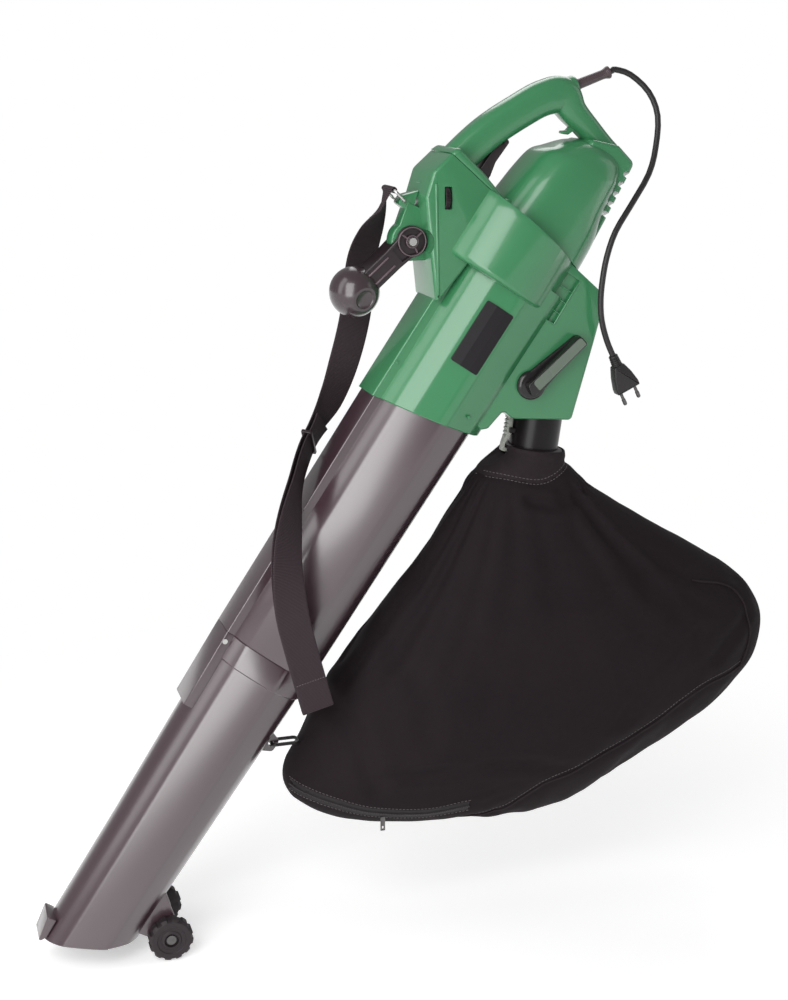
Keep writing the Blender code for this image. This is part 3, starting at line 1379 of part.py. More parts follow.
def build_strap():
    """One length of webbing from the ring down to its fold, and back up to the slide."""
    out = Vector(RING_OUT).normalized() * RING_DEPTH
    bar = to_world(RING_S + out.x, 0, RING_T + out.z)
    reach = RING_WIRE_R + GAP + WEB_THICK / 2
    loop = []
    for k in range(7):
        a = math.radians(-60 + 240 * k / 6)
        here = Vector((bar.x + reach * math.cos(a), 0, bar.z + reach * math.sin(a)))
        out = Vector((math.cos(a), 0, math.sin(a)))
        loop.append((here, Vector((0, 1, 0)), out))
    line = smooth_path(STRAP_LINE, 2)
    down = strap_frames(line)
    if down[0][2].x > 0:
        down = [(here, wide, -face) for here, wide, face in down]
    back = []
    for (here, wide, face), (_, _, front) in zip(strap_frames(line[STRAP_FOLD:]), down[STRAP_FOLD:]):
        side = 1 if face.dot(front) > 0 else -1
        back.append((here - face * side * STRAP_GAP, wide, -front))
    low, low_back = down[-1], back[-1]
    fold = []
    middle = (low[0] + low_back[0]) / 2
    half = (low[0] - low_back[0]) / 2
    heading = (down[-1][0] - down[-2][0]).normalized()
    for k in range(1, 5):
        a = math.pi * k / 5
        out = half.normalized() * math.cos(a) + heading * math.sin(a)
        fold.append((middle + out * half.length, low[1], out))
    frames = loop + down + fold + back[::-1]
    rings = []
    for here, wide, face in frames:
        w, f = wide * WEB_WIDTH / 2, face * WEB_THICK / 2
        rings.append([here - w - f, here + w - f, here + w + f, here - w + f])
    band = loft(rings)
    bmesh.ops.triangulate(band, faces=band.faces)
    put("shoulder_strap", band, "strap_webbing", in_machine=False)
    here, wide, face = down[12]
    centre = here - face * STRAP_GAP / 2
    tangent = wide.cross(face)
    outer, inner = (0.0215, 0.0066), (0.0196, 0.0044)
    bm = bmesh.new()
    rings = []
    for (a, b), h in ((outer, -0.002), (outer, 0.002), (inner, 0.002), (inner, -0.002)):
        corners = ((-a, -b), (a, -b), (a, b), (-a, b))
        rings.append([centre + wide * x + face * y + tangent * h for x, y in corners])
    put("strap_slide", skin(bm, rings, closed=True), "black_plastic", in_machine=False)


def wire_loop(base, out, half, depth, wire_r, corner=0.004):
    """A bent wire rectangle that starts at the base, as wide as twice the half and as long as the depth."""
    side, out = Vector((0, 1, 0)), Vector(out).normalized()
    corners = [(-half, 0, corner), (half, 0, corner), (half, depth, corner), (-half, depth, corner)]
    outline = rounded(corners, 3)
    rings = []
    for k, (a, b) in enumerate(outline):
        before, after = Vector(outline[k - 1]), Vector(outline[(k + 1) % len(outline)])
        heading = (after - before).normalized()
        flat = side * heading.y - out * heading.x
        middle = Vector(base) + side * a + out * b
        rings.append([middle + flat * x + out.cross(side) * y for x, y in circle(wire_r, 7)])
    return skin(bmesh.new(), rings, closed=True)


def build_strap_ring():
    """The wire rectangle that lies in the eye behind the front handle."""
    base = (RING_S, 0, RING_T)
    ring = wire_loop(base, RING_OUT, RING_HALF, RING_DEPTH, RING_WIRE_R)
    put("strap_ring", ring, "bright_steel", base)


def build_bag_clip():
    """The wire link that ties the bag's toe to the eye under the lower tube."""
    eye = to_world(TAB_S, 0, -tube_radius(TAB_S) - TAB_DROP + TAB_EYE_RISE)
    near = eye + Vector((TAB_EYE_R - CLIP_WIRE_R - GAP, 0, 0))
    depth = bag_slice(eye.z)[0] - 2 * GAP - CLIP_WIRE_R - near.x
    loop = wire_loop(near, (1, 0, 0), CLIP_HALF, depth, CLIP_WIRE_R)
    put("bag_clip", loop, "motor_steel", in_machine=False)


# The cord's middle line from the guard to the plug: x, y, z
CORD_LINE = (
    (0.1590, -0.0020, 0.0500),
    (0.1804, -0.0080, 0.0302),
    (0.1903, -0.0140, 0.0028),
    (0.1845, -0.0240, -0.0324),
    (0.1711, -0.0360, -0.0626),
    (0.1441, -0.0500, -0.0956),
    (0.1204, -0.0600, -0.1252),
    (0.1082, -0.0650, -0.1533),
    (0.1032, -0.0660, -0.1796),
    (0.1016, -0.0660, -0.2040),
    (0.1037, -0.0660, -0.2276),
    (0.1109, -0.0660, -0.2515),
    (0.1193, -0.0660, -0.2698),
)


def build_cord():
    guard = to_world(GUARD_S, 0, GUARD_T)
    way = Vector((math.cos(GUARD_RISE), 0, math.sin(GUARD_RISE)))
    profile = [
        (-0.012, 0.0),
        (-0.012, GUARD_R),
        (GUARD_LENGTH - 0.009, GUARD_R),
        (GUARD_LENGTH - 0.005, GUARD_END_R),
        (GUARD_LENGTH, GUARD_END_R - 0.0012),
        (GUARD_LENGTH, 0.0),
    ]
    put("cord_guard", turned(profile, 18, along(guard, way)), "cord_rubber", in_machine=False)
    start = guard + way * (GUARD_LENGTH + GAP)
    line = [tuple(start + way * d) for d in (0, 0.004, 0.008)] + list(CORD_LINE)
    path = smooth_path(line, 3)
    curve = bpy.data.curves.new("power_cord", "CURVE")
    curve.dimensions = "3D"
    spline = curve.splines.new("POLY")
    spline.points.add(len(path) - 1)
    for point, co in zip(spline.points, path):
        point.co = (*co, 1)
    curve.bevel_depth = CORD_R
    curve.bevel_resolution = 2
    curve.use_fill_caps = True
    curve.materials.append(finish("cord_rubber"))
    cord = bpy.data.objects.new("power_cord", curve)
    bpy.context.scene.collection.objects.link(cord)
    end = Vector(path[-1])
    heading = (end - Vector(path[-2])).normalized()
    build_plug(along(end + heading * GAP, heading))


def build_plug(place):
    """A flat-sided two-pin contour plug of the 16 A kind, with its sleeve."""
    sleeve = [(0, 0), (0, 0.0055), (0.016, 0.0065), (0.016, 0)]
    body = put("power_plug", turned(sleeve, 18, place), "cord_rubber", in_machine=False)
    outline = rounded(
        [
            (0.014, -0.0070, 0.002),
            (0.026, -0.0120, 0.006),
            (0.040, -0.0150, 0.002),
            (0.046, -0.0150, 0.001),
            (0.046, 0.0150, 0.001),
            (0.040, 0.0150, 0.002),
            (0.026, 0.0120, 0.006),
            (0.014, 0.0070, 0.002),
        ],
        2,
    )
    rings = [[place @ Vector((x, y, z)) for z, x in outline] for y in (-0.0075, 0.0075)]
    join(body, put("plug_body_form", skin(bmesh.new(), rings), in_machine=False))
    pins = []
    for side in (-1, 1):
        profile = [(0.044, 0), (0.044, 0.0024), (0.0615, 0.0024), (0.0630, 0.0014), (0.0630, 0)]
        spot = place @ Matrix.Translation((side * 0.0095, 0, 0))
        pins.append(put(f"plug_pin_form_{side}", turned(profile, 12, spot), in_machine=False))
    join(body, *pins)


def main():
    build_upper_tube()
    tube = build_lower_tube()
    screw, hole = build_joint_bolt()
    cut(tube, hole)
    build_wheels()
    build_front_housing()
    build_badge()
    build_rear_housing()
    build_front_handle()
    build_trigger()
    build_dial()
    build_selector()
    build_motor()
    build_catch(build_spout())
    build_bag()
    build_zip_puller()
    build_bag_clip()
    build_strap()
    build_strap_ring()
    build_cord()


main()
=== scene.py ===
"""The leaf blower vacuum as it looks: moulded shells, tubes, cloth bag, webbing and cord on the CAD frame.

The machine's own frame is the one in which its drawings are made: s runs up the suction tube, y across
and t towards the top handle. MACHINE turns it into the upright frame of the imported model. Metres.
"""

import math

import bmesh
import bpy
from mathutils import Matrix, Vector, noise
from mathutils.bvhtree import BVHTree


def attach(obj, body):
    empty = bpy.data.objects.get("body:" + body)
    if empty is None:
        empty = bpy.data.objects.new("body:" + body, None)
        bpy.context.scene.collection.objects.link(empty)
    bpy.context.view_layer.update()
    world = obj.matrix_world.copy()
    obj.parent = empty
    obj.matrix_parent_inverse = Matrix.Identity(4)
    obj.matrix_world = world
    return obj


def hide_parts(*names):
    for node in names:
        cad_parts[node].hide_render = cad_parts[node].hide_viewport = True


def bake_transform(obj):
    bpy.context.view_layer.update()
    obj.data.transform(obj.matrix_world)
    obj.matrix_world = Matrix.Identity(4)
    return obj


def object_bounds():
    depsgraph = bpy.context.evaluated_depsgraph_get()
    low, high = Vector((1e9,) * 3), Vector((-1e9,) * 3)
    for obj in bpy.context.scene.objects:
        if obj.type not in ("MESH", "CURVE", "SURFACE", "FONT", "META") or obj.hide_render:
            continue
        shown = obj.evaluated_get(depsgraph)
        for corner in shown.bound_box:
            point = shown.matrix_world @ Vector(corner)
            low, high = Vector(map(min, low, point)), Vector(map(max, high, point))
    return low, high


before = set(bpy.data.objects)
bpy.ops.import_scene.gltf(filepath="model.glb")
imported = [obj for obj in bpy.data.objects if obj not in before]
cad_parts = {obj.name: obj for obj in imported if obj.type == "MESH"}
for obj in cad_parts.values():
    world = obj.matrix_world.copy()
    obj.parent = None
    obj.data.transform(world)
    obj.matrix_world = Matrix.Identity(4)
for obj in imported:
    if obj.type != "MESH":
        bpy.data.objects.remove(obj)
cad_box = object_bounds()

TILT = math.radians(56.0)
TURN = Matrix.Rotation(-TILT, 4, "Y")
MACHINE = Matrix.Translation(-(TURN @ Vector((0.335, 0, 0.106)))) @ TURN
ACROSS = Matrix.Rotation(-math.pi / 2, 4, "X")
HERE = Matrix()

GAP = 0.0003
MOUTH_R, JOINT_R, NOZZLE_R = 0.0645, 0.0620, 0.0520
JOINT_S, NOZZLE_S = -0.338, -0.7446
MOUTH_SLOPE, NOZZLE_SLOPE = -0.183, -0.556
TUBE_WALL, TUBE_LIP, SOCKET_STEP = 0.003, 0.0008, 0.0014
RAIL_HALF, RAIL_RISE, RAIL_EDGE, RAIL_END_S, BAR_FOOT = 0.026, 0.0035, 0.0016, -0.438, 0.050
SPLIT_S, SPLIT_SLOPE, SPLIT_EDGE = 0.2455, 0.13, 0.0004
DUCT_HALF, SHOULDER_HALF, LUG_HALF = 0.050, 0.040, 0.011
FAN_T, FAN_RING_R, FAN_RING_S = 0.018, 0.080, 0.172
PIVOT_S, PIVOT_T = 0.160, 0.125
WHEEL_S, WHEEL_T, WHEEL_R, WHEEL_HALF, TREAD_COUNT = -0.696, -0.0765, 0.027, 0.0085, 12

# Flats of the tubes' section in degrees, over the top from right to left, then under it from left to right
BARREL_FLATS = ((8, 31), (31, 47), (133, 149), (149, 172))
TUBE_FLATS, TUBE_EASE = ((4, 45), (135, 176)), 0.6
LOW_FLATS = ((3, 33), (147, 177))
CREASE_T, CREASE_STEP, HALF_COUNT = -0.012, 0.0015, 90


# The photograph's view

AZIMUTH, ELEVATION = math.radians(17), math.radians(15)
LEVEL = math.cos(ELEVATION)
BACK = Vector((-math.sin(AZIMUTH) * LEVEL, -math.cos(AZIMUTH) * LEVEL, math.sin(ELEVATION)))
AIM, AWAY = Vector((-0.1303, 0.0, -0.4439)), 1.97
SENSOR, FOCAL_PIXELS, PHOTO_WIDTH = 36.0, 1640.0, 788.0


def linked(name, data):
    made = bpy.data.objects.new(name, data)
    bpy.context.scene.collection.objects.link(made)
    return made


def build_camera():
    data = bpy.data.cameras.new("photo_camera")
    data.sensor_fit = "HORIZONTAL"
    data.sensor_width = SENSOR
    data.lens = SENSOR * FOCAL_PIXELS / PHOTO_WIDTH
    camera = linked("photo_camera", data)
    camera.location = AIM + BACK * AWAY
    camera.rotation_euler = (-BACK).to_track_quat("-Z", "Y").to_euler()
    bpy.context.scene.camera = camera


# Node trees


def fill(tree, made, values):
    """Sets a node's inputs: a socket is linked, and anything else becomes the input's own value."""
    for key, value in values.items():
        if isinstance(value, bpy.types.NodeSocket):
            tree.links.new(value, made.inputs[key])
        else:
            made.inputs[key].default_value = value
    return made


def node(tree, kind, values=None, **settings):
    made = tree.nodes.new(kind)
    for key, value in settings.items():
        setattr(made, key, value)
    return fill(tree, made, values or {})


def calc(tree, operation, *values):
    return node(tree, "ShaderNodeMath", dict(enumerate(values)), operation=operation).outputs[0]


def sums(tree):
    """Functions that add and multiply two values of a tree."""
    return (lambda a, b: calc(tree, "ADD", a, b)), (lambda a, b: calc(tree, "MULTIPLY", a, b))


def noise_at(tree, place, scale, detail, rough=0.5):
    values = {"Vector": place, "Scale": scale, "Detail": detail, "Roughness": rough}
    return node(tree, "ShaderNodeTexNoise", values).outputs["Fac"]


def sockets(tree, way, kind, labels):
    for label in labels:
        tree.interface.new_socket(name=label, in_out=way, socket_type=kind)


def number_inputs(tree, sizes):
    for label, value in sizes.items():
        socket = tree.interface.new_socket(name=label, in_out="INPUT", socket_type="NodeSocketFloat")
        socket.default_value = value


def surface_group(name, colours, sizes):
    """A shader group that puts out a colour, a roughness and a height, with its inputs and object place."""
    group = bpy.data.node_groups.new(name, "ShaderNodeTree")
    sockets(group, "INPUT", "NodeSocketColor", colours)
    number_inputs(group, sizes)
    sockets(group, "OUTPUT", "NodeSocketColor", ["Colour"])
    sockets(group, "OUTPUT", "NodeSocketFloat", ["Roughness", "Height"])
    place = node(group, "ShaderNodeTexCoord").outputs["Object"]
    return group, node(group, "NodeGroupInput").outputs, place


def put_out(group, factor, first, second, rough, high):
    """Ends a surface group with a blend of two colours, its roughness and its height."""
    values = {"Factor": factor, 6: first, 7: second}
    colour = node(group, "ShaderNodeMix", values, data_type="RGBA", clamp_factor=True).outputs[2]
    node(group, "NodeGroupOutput", {"Colour": colour, "Roughness": rough, "Height": high})
    return group


def moulded_group():
    """Fine spark-eroded grain, slow unevenness and scuffs of a plastic moulding."""
    sizes = {"Grain size": 900.0, "Grain": 0.35, "Scuffs": 0.25, "Roughness": 0.35}
    group, into, place = surface_group("moulded_plastic", ("Colour", "Scuff colour"), sizes)
    add, times = sums(group)
    fine = noise_at(group, place, into["Grain size"], 2.0, 0.6)
    slow = noise_at(group, place, 11.0, 3.0)
    turned_place = {"Vector": place, "Scale": (14.0, 60.0, 9.0), "Rotation": (0.4, 0.9, 0.2)}
    stretched = node(group, "ShaderNodeMapping", turned_place).outputs[0]
    streak = noise_at(group, stretched, 3.0, 8.0, 0.75)
    scuffed = node(group, "ShaderNodeMapRange", {"Value": streak, "From Min": 0.60, "From Max": 0.74})
    amount = times(scuffed.outputs[0], into["Scuffs"])
    shade = node(group, "ShaderNodeMapRange", {"Value": slow, "To Min": 0.93, "To Max": 1.07}).outputs[0]
    toned = node(group, "ShaderNodeVectorMath", {0: into["Colour"], "Scale": shade}, operation="SCALE")
    rough = add(times(calc(group, "SUBTRACT", slow, 0.5), 0.06), into["Roughness"])
    rough = add(rough, times(amount, 0.4))
    high = add(times(fine, into["Grain"]), times(amount, 0.08))
    return put_out(group, amount, toned.outputs[0], into["Scuff colour"], rough, high)


def cloth_group():
    """Plain weave: warp and weft ridges that pass over and under, with slubs."""
    sizes = {"Threads": 650.0, "Slub": 0.5}
    group, into, place = surface_group("woven_cloth", ("Colour", "Thread colour"), sizes)
    add, times = sums(group)
    x, y, z = node(group, "ShaderNodeSeparateXYZ", {0: place}).outputs
    warp = calc(group, "SINE", times(add(x, times(y, 0.7)), into["Threads"]))
    weft = calc(group, "SINE", times(add(z, times(y, 0.4)), into["Threads"]))
    woven = add(times(times(warp, weft), 0.25), 0.5)
    slub, slow = noise_at(group, place, 160.0, 4.0, 0.7), noise_at(group, place, 7.0, 3.0)
    uneven = times(calc(group, "SUBTRACT", slub, 0.5), into["Slub"])
    tint, rough = add(times(slow, 0.5), uneven), add(times(slub, 0.15), 0.72)
    return put_out(group, tint, into["Colour"], into["Thread colour"], rough, add(woven, uneven))


def webbing_group():
    """Webbing from its own UV map: U runs across the band in metres, V along it."""
    group, into, _ = surface_group("ribbed_webbing", ("Colour", "Thread colour"), {"Rib pitch": 0.0016})
    add, times = sums(group)
    place = node(group, "ShaderNodeUVMap", uv_map="band").outputs[0]
    across, down, _ = node(group, "ShaderNodeSeparateXYZ", {0: place}).outputs
    rib = calc(group, "SINE", times(down, calc(group, "DIVIDE", 6.2832, into["Rib pitch"])))
    warp = calc(group, "SINE", times(across, 5200.0))
    fuzz = noise_at(group, place, 420.0, 3.0)
    high = add(add(times(rib, 0.4), times(warp, 0.18)), times(fuzz, 0.5))
    rough = add(times(fuzz, 0.2), 0.62)
    return put_out(group, times(high, 0.7), into["Colour"], into["Thread colour"], rough, high)


def metal_group():
    """Brushed or plated metal: fine drawn lines, dull spots and a little tarnish."""
    sizes = {"Tarnish": 0.3, "Roughness": 0.25}
    group, into, place = surface_group("worked_metal", ("Colour", "Tarnish colour"), sizes)
    add, times = sums(group)
    drawn = node(group, "ShaderNodeMapping", {"Vector": place, "Scale": (60.0, 900.0, 900.0)})
    lines = noise_at(group, drawn.outputs[0], 1.0, 3.0)
    dull = times(noise_at(group, place, 120.0, 5.0, 0.7), into["Tarnish"])
    rough = add(add(times(lines, 0.12), into["Roughness"]), times(dull, 0.25))
    return put_out(group, dull, into["Colour"], into["Tarnish colour"], rough, lines)


# Materials

FINISH = {}


def rgb(red, green, blue):
    """Linear colour of an sRGB colour given in 0 to 255."""
    parts = []
    for value in (red, green, blue):
        value /= 255
        parts.append(value / 12.92 if value <= 0.04045 else ((value + 0.055) / 1.055) ** 2.4)
    return (*parts, 1.0)


def material(name, group, colour, second, values, bump=0.1, distance=0.0002, **shader):
    """A surface group in two colours of 0 to 255, with its values and those of the shader."""
    made = bpy.data.materials.new(name)
    made.use_nodes = True
    tree = made.node_tree
    surface = {0: rgb(*colour), 1: rgb(*second), **values}
    use = node(tree, "ShaderNodeGroup", surface, node_tree=group).outputs
    raised = node(tree, "ShaderNodeBump", {"Strength": bump, "Distance": distance, "Height": use["Height"]})
    plain = {key.replace("_", " "): value for key, value in shader.items()}
    plain.update({"Base Color": use["Colour"], "Roughness": use["Roughness"], "Normal": raised.outputs[0]})
    fill(tree, tree.nodes["Principled BSDF"], plain)
    return made


def build_materials():
    moulded, metal, cloth = moulded_group(), metal_group(), cloth_group()

    def plastic(name, colour, scuff, rough, grain=0.35, scuffs=0.25, size=900.0, **more):
        values = {"Grain size": size, "Grain": grain, "Scuffs": scuffs, "Roughness": rough}
        return material(name, moulded, colour, scuff, values, **more)

    def plated(name, colour, tarnish, amount, rough):
        values = {"Tarnish": amount, "Roughness": rough}
        return material(name, metal, colour, tarnish, values, 0.05, Metallic=1.0)

    def woven(name, colour, thread, threads, slub, bump, distance, shine):
        values = {"Threads": threads, "Slub": slub}
        return material(name, cloth, colour, thread, values, bump, distance, Specular_IOR_Level=shine)

    FINISH.update(
        green=plastic("green_shell", (60, 130, 86), (80, 146, 104), 0.30, scuffs=0.06, bump=0.04,
                      Coat_Weight=0.6, Coat_Roughness=0.10),
        tube=plastic("tube_plastic", (66, 47, 54), (84, 64, 72), 0.30, scuffs=0.04, bump=0.05,
                     Specular_IOR_Level=1.0, Coat_Weight=0.9, Coat_Roughness=0.22),
        black=plastic("black_plastic", (42, 33, 37), (84, 74, 78), 0.32, bump=0.08),
        gloss_black=plastic("lever_plastic", (30, 27, 28), (70, 66, 68), 0.22, bump=0.03),
        badge=plastic("badge_face", (30, 27, 30), (50, 46, 48), 0.45, size=500.0, scuffs=0.10,
                      Specular_IOR_Level=0.3),
        grey=plastic("grey_plastic", (176, 177, 170), (206, 206, 200), 0.36),
        rubber=plastic("cord_rubber", (36, 33, 34), (76, 72, 74), 0.46, size=1400.0),
        tyre=plastic("wheel_rubber", (38, 30, 34), (80, 70, 74), 0.62, grain=0.6, scuffs=0.5),
        steel=plated("bright_steel", (216, 216, 214), (150, 148, 144), 0.35, 0.16),
        dark_steel=plated("dark_steel", (120, 118, 118), (64, 60, 58), 0.6, 0.34),
        board=plastic("coated_board", (34, 92, 58), (60, 120, 84), 0.4),
        bag=woven("bag_cloth", (28, 22, 25), (44, 36, 39), 4200.0, 0.6, 0.4, 0.0004, 0.15),
        cuff=woven("cuff_cloth", (36, 29, 32), (56, 47, 51), 3000.0, 0.9, 0.5, 0.0005, 0.2),
        strap=material("strap_webbing", webbing_group(), (44, 34, 38), (82, 68, 74), {}, 0.6, 0.0005,
                       Specular_IOR_Level=0.3),
        thread=plastic("bag_thread", (112, 104, 106), (140, 132, 134), 0.7),
        zip=plastic("zip_tape", (30, 26, 28), (60, 54, 56), 0.7),
        tooth=plastic("zip_coil", (52, 46, 48), (90, 84, 86), 0.45),
        gloss_knob=plastic("knob_plastic", (60, 47, 52), (96, 82, 88), 0.28, bump=0.04,
                           Coat_Weight=0.8, Coat_Roughness=0.15),
        spout=plastic("spout_plastic", (24, 20, 22), (50, 44, 47), 0.3, bump=0.04, Specular_IOR_Level=0.25),
        # Lighter mauve-grey finish for the fork's beads: a painted highlight standing for the bright lines
        # along the ear rims, hub webs and stem ribs
        bead=plastic("highlight_painted_plastic", (104, 88, 94), (150, 136, 142), 0.3, bump=0.04),
        lever_face=plastic("lever_face", (104, 116, 104), (150, 160, 150), 0.28, bump=0.03),
        sleeve=plastic("sleeve_rubber", (78, 66, 69), (112, 100, 104), 0.34, bump=0.05),
        black_wire=plastic("dipped_wire", (34, 31, 32), (90, 84, 84), 0.4),
    )


# Forms


def turns(count):
    """The angles of a full turn in equal steps."""
    return [2 * math.pi * k / count for k in range(count)]


def arc(radius, first, last, steps, centre=(0, 0)):
    """Points of an arc between two angles in degrees."""
    angles = [math.radians(first + (last - first) * k / steps) for k in range(steps + 1)]
    return [(centre[0] + radius * math.cos(a), centre[1] + radius * math.sin(a)) for a in angles]


def quarter(edge, steps, top):
    """A rounded corner's points as inset and height, from the side up to the top."""
    angles = [math.pi / 2 * k / steps for k in range(steps + 1)]
    return [(edge * (1 - math.cos(a)), top - edge * (1 - math.sin(a))) for a in angles]


def join(bm, loops, closed):
    pairs = list(zip(loops, loops[1:])) + ([(loops[-1], loops[0])] if closed else [])
    count = max(len(loop) for loop in loops)
    for low, high in pairs:
        for k in range(count):
            nxt = (k + 1) % count
            corners = [low[k % len(low)], low[nxt % len(low)], high[nxt % len(high)], high[k % len(high)]]
            bm.faces.new(list(dict.fromkeys(corners)))
    return bm


def skin(rings, closed=False):
    bm = bmesh.new()
    loops = [[bm.verts.new(point) for point in ring] for ring in rings]
    join(bm, loops, closed)
    if not closed:
        bm.faces.new(loops[0][::-1])
        bm.faces.new(loops[-1])
    return bm


def turned(profile, count, place=HERE, closed=False):
    """Revolves (height, radius) points about the place's own z axis."""
    bm, loops = bmesh.new(), []
    for height, radius in profile:
        angles = turns(count) if radius else [0]
        spots = [Vector((radius * math.cos(a), radius * math.sin(a), height)) for a in angles]
        loops.append([bm.verts.new(place @ spot) for spot in spots])
    return join(bm, loops, closed)


def along(start, direction):
    turn = Vector((0, 0, 1)).rotation_difference(Vector(direction).normalized())
    return Matrix.Translation(Vector(start)) @ turn.to_matrix().to_4x4()


def rod(start, end, radius, count=48, edge=0.0):
    """A cylinder, with rounded rims where an edge is given."""
    start, end = Vector(start), Vector(end)
    length = (end - start).length
    rim = [(0, radius - edge), (edge * 0.3, radius - edge * 0.3), (edge, radius)] if edge else [(0, radius)]
    profile = [(0, 0)] + rim + [(length - height, reach) for height, reach in rim[::-1]] + [(length, 0)]
    return turned(profile, count, along(start, end - start))


def rounded(corners, segments=8):
    """An outline of (s, t, radius) corners."""
    outline = []
    for k, (s, t, radius) in enumerate(corners):
        here = Vector((s, t))
        before = Vector(corners[k - 1][:2]) - here
        after = Vector(corners[(k + 1) % len(corners)][:2]) - here
        half = before.angle(after) / 2
        if radius == 0 or half > 1.5:
            outline.append((s, t))
            continue
        reach = min(radius / math.tan(half), 0.49 * before.length, 0.49 * after.length)
        start, end = here + before.normalized() * reach, here + after.normalized() * reach
        radius = reach * math.tan(half)
        centre = here + (before.normalized() + after.normalized()).normalized() * radius / math.sin(half)
        sweep = (start - centre).angle_signed(end - centre)
        for step in range(segments + 1):
            arm = (start - centre).copy()
            arm.rotate(Matrix.Rotation(-sweep * step / segments, 2))
            outline.append(tuple(centre + arm))
    return outline


def slab(outline, low, high, edge=0.0, segments=5):
    """Extrudes an (s, t) outline from y = low to y = high, with rounded rims where an edge is given."""
    bm = bmesh.new()
    face = bm.faces.new([bm.verts.new((s, low, t)) for s, t in outline])
    grown = bmesh.ops.extrude_face_region(bm, geom=[face])["geom"]
    moved = [item for item in grown if isinstance(item, bmesh.types.BMVert)]
    bmesh.ops.translate(bm, verts=moved, vec=(0, high - low, 0))
    if edge:
        rims = [e for e in bm.edges if abs(e.verts[0].co.y - e.verts[1].co.y) < 1e-9]
        bmesh.ops.bevel(bm, geom=rims, offset=edge, segments=segments, profile=0.5, affect="EDGES")
    return bm


def side_slab(outline, side, near, far, edge=0.0, segments=5):
    """A slab on one side of the machine, between two distances from its middle plane."""
    return slab(outline, *sorted((side * near, side * far)), edge, segments)


def block(place, half, edge):
    bm = bmesh.new()
    bmesh.ops.create_cube(bm, size=2, matrix=place @ Matrix.Diagonal((*half, 1)))
    bmesh.ops.bevel(bm, geom=bm.edges[:], offset=edge, segments=3, profile=0.5, affect="EDGES")
    return bm


def tube_ring(s, radius, slope=0.0, drop=0.0, flats=BARREL_FLATS, ease=1.0):
    """A tube section with flats on its upper sides and a crease low on each flank, where it steps in."""

    def upper(degrees):
        a = math.radians(degrees)
        return Vector((radius * math.cos(a), CREASE_T + (radius - CREASE_T) * math.sin(a)))

    def lower(degrees):
        a = math.radians(degrees)
        t = CREASE_T - (radius + drop + CREASE_T) * math.sin(a)
        return Vector((-(radius - CREASE_STEP) * math.cos(a), t))

    ring = []
    for curve, spans in ((upper, flats), (lower, LOW_FLATS)):
        for k in range(HALF_COUNT + 1):
            degrees = 180 * k / HALF_COUNT
            here = curve(degrees)
            for first, last in spans:
                if first < degrees < last:
                    flat = curve(first).lerp(curve(last), (degrees - first) / (last - first))
                    here = here.lerp(flat, ease)
            ring.append((s + slope * here.y, here.x, here.y))
    return ring


def soft_tube(rows, closed=False):
    """A skin over softly flattened tube sections, each given by its s, radius and slope."""
    return solid(skin([tube_ring(*row, flats=TUBE_FLATS, ease=TUBE_EASE) for row in rows], closed))


def oval(half_width, low, high, count, power):
    ring = []
    middle, half = (low + high) / 2, (high - low) / 2
    for a in turns(count):
        y = half_width * math.copysign(abs(math.cos(a)) ** (2 / power), math.cos(a))
        t = middle + half * math.copysign(abs(math.sin(a)) ** (2 / power), math.sin(a))
        ring.append((y, t))
    return ring


def tube_radius(s):
    if s > JOINT_S:
        return MOUTH_R + (JOINT_R - MOUTH_R) * s / JOINT_S
    return JOINT_R + (NOZZLE_R - JOINT_R) * (s - JOINT_S) / (NOZZLE_S - JOINT_S)


def split(bm, side):
    """Keeps what lies in front of the housings' joint (side 1) or behind it (side -1), with a rounded rim."""
    made = bmesh.ops.bisect_plane(
        bm,
        geom=bm.verts[:] + bm.edges[:] + bm.faces[:],
        plane_co=(SPLIT_S - side * GAP, 0, 0),
        plane_no=Vector((side, 0, -side * SPLIT_SLOPE)),
        clear_outer=True,
        dist=1e-6,
    )
    rim = [item for item in made["geom_cut"] if isinstance(item, bmesh.types.BMEdge)]
    bmesh.ops.contextual_create(bm, geom=rim)
    rim = [e for e in rim if e.is_valid]
    bmesh.ops.bevel(bm, geom=rim, offset=SPLIT_EDGE, segments=2, profile=0.5, affect="EDGES")
    return bm


# Objects


def kept(bm):
    """The mesh as an object in the scene."""
    mesh = bpy.data.meshes.new("form")
    bm.to_mesh(mesh)
    bm.free()
    return linked("form", mesh)


def solid(bm, place=MACHINE):
    """A closed mesh drawn in a place's frame, as an object with its place in its mesh."""
    bmesh.ops.remove_doubles(bm, verts=bm.verts, dist=1e-6)
    bmesh.ops.recalc_face_normals(bm, faces=bm.faces)
    bm.transform(place)
    return kept(bm)


def settle(target):
    """Turns an object's modifiers into its own mesh."""
    graph = bpy.context.evaluated_depsgraph_get()
    graph.update()
    mesh = bpy.data.meshes.new_from_object(target.evaluated_get(graph))
    old = target.data
    target.modifiers.clear()
    target.data = mesh
    bpy.data.meshes.remove(old)
    return target


def carve(target, *cutters):
    for cutter in cutters:
        step = target.modifiers.new(cutter.name, "BOOLEAN")
        step.operation = "DIFFERENCE"
        step.solver = "EXACT"
        step.object = cutter
    settle(target)
    for cutter in cutters:
        bpy.data.objects.remove(cutter, do_unlink=True)
    return target


def soften(target, width, segments, angle):
    """Rounds the edges that turn by more than the angle."""
    step = target.modifiers.new("rounded_edges", "BEVEL")
    step.width = width
    step.segments = segments
    step.limit_method = "ANGLE"
    step.angle_limit = math.radians(angle)
    step.harden_normals = False
    return settle(target)


def gather(*members):
    """Joins objects into one, keeping each one's faces."""
    bm = bmesh.new()
    for member in members:
        bm.from_mesh(member.data)
        bpy.data.objects.remove(member, do_unlink=True)
    return kept(bm)


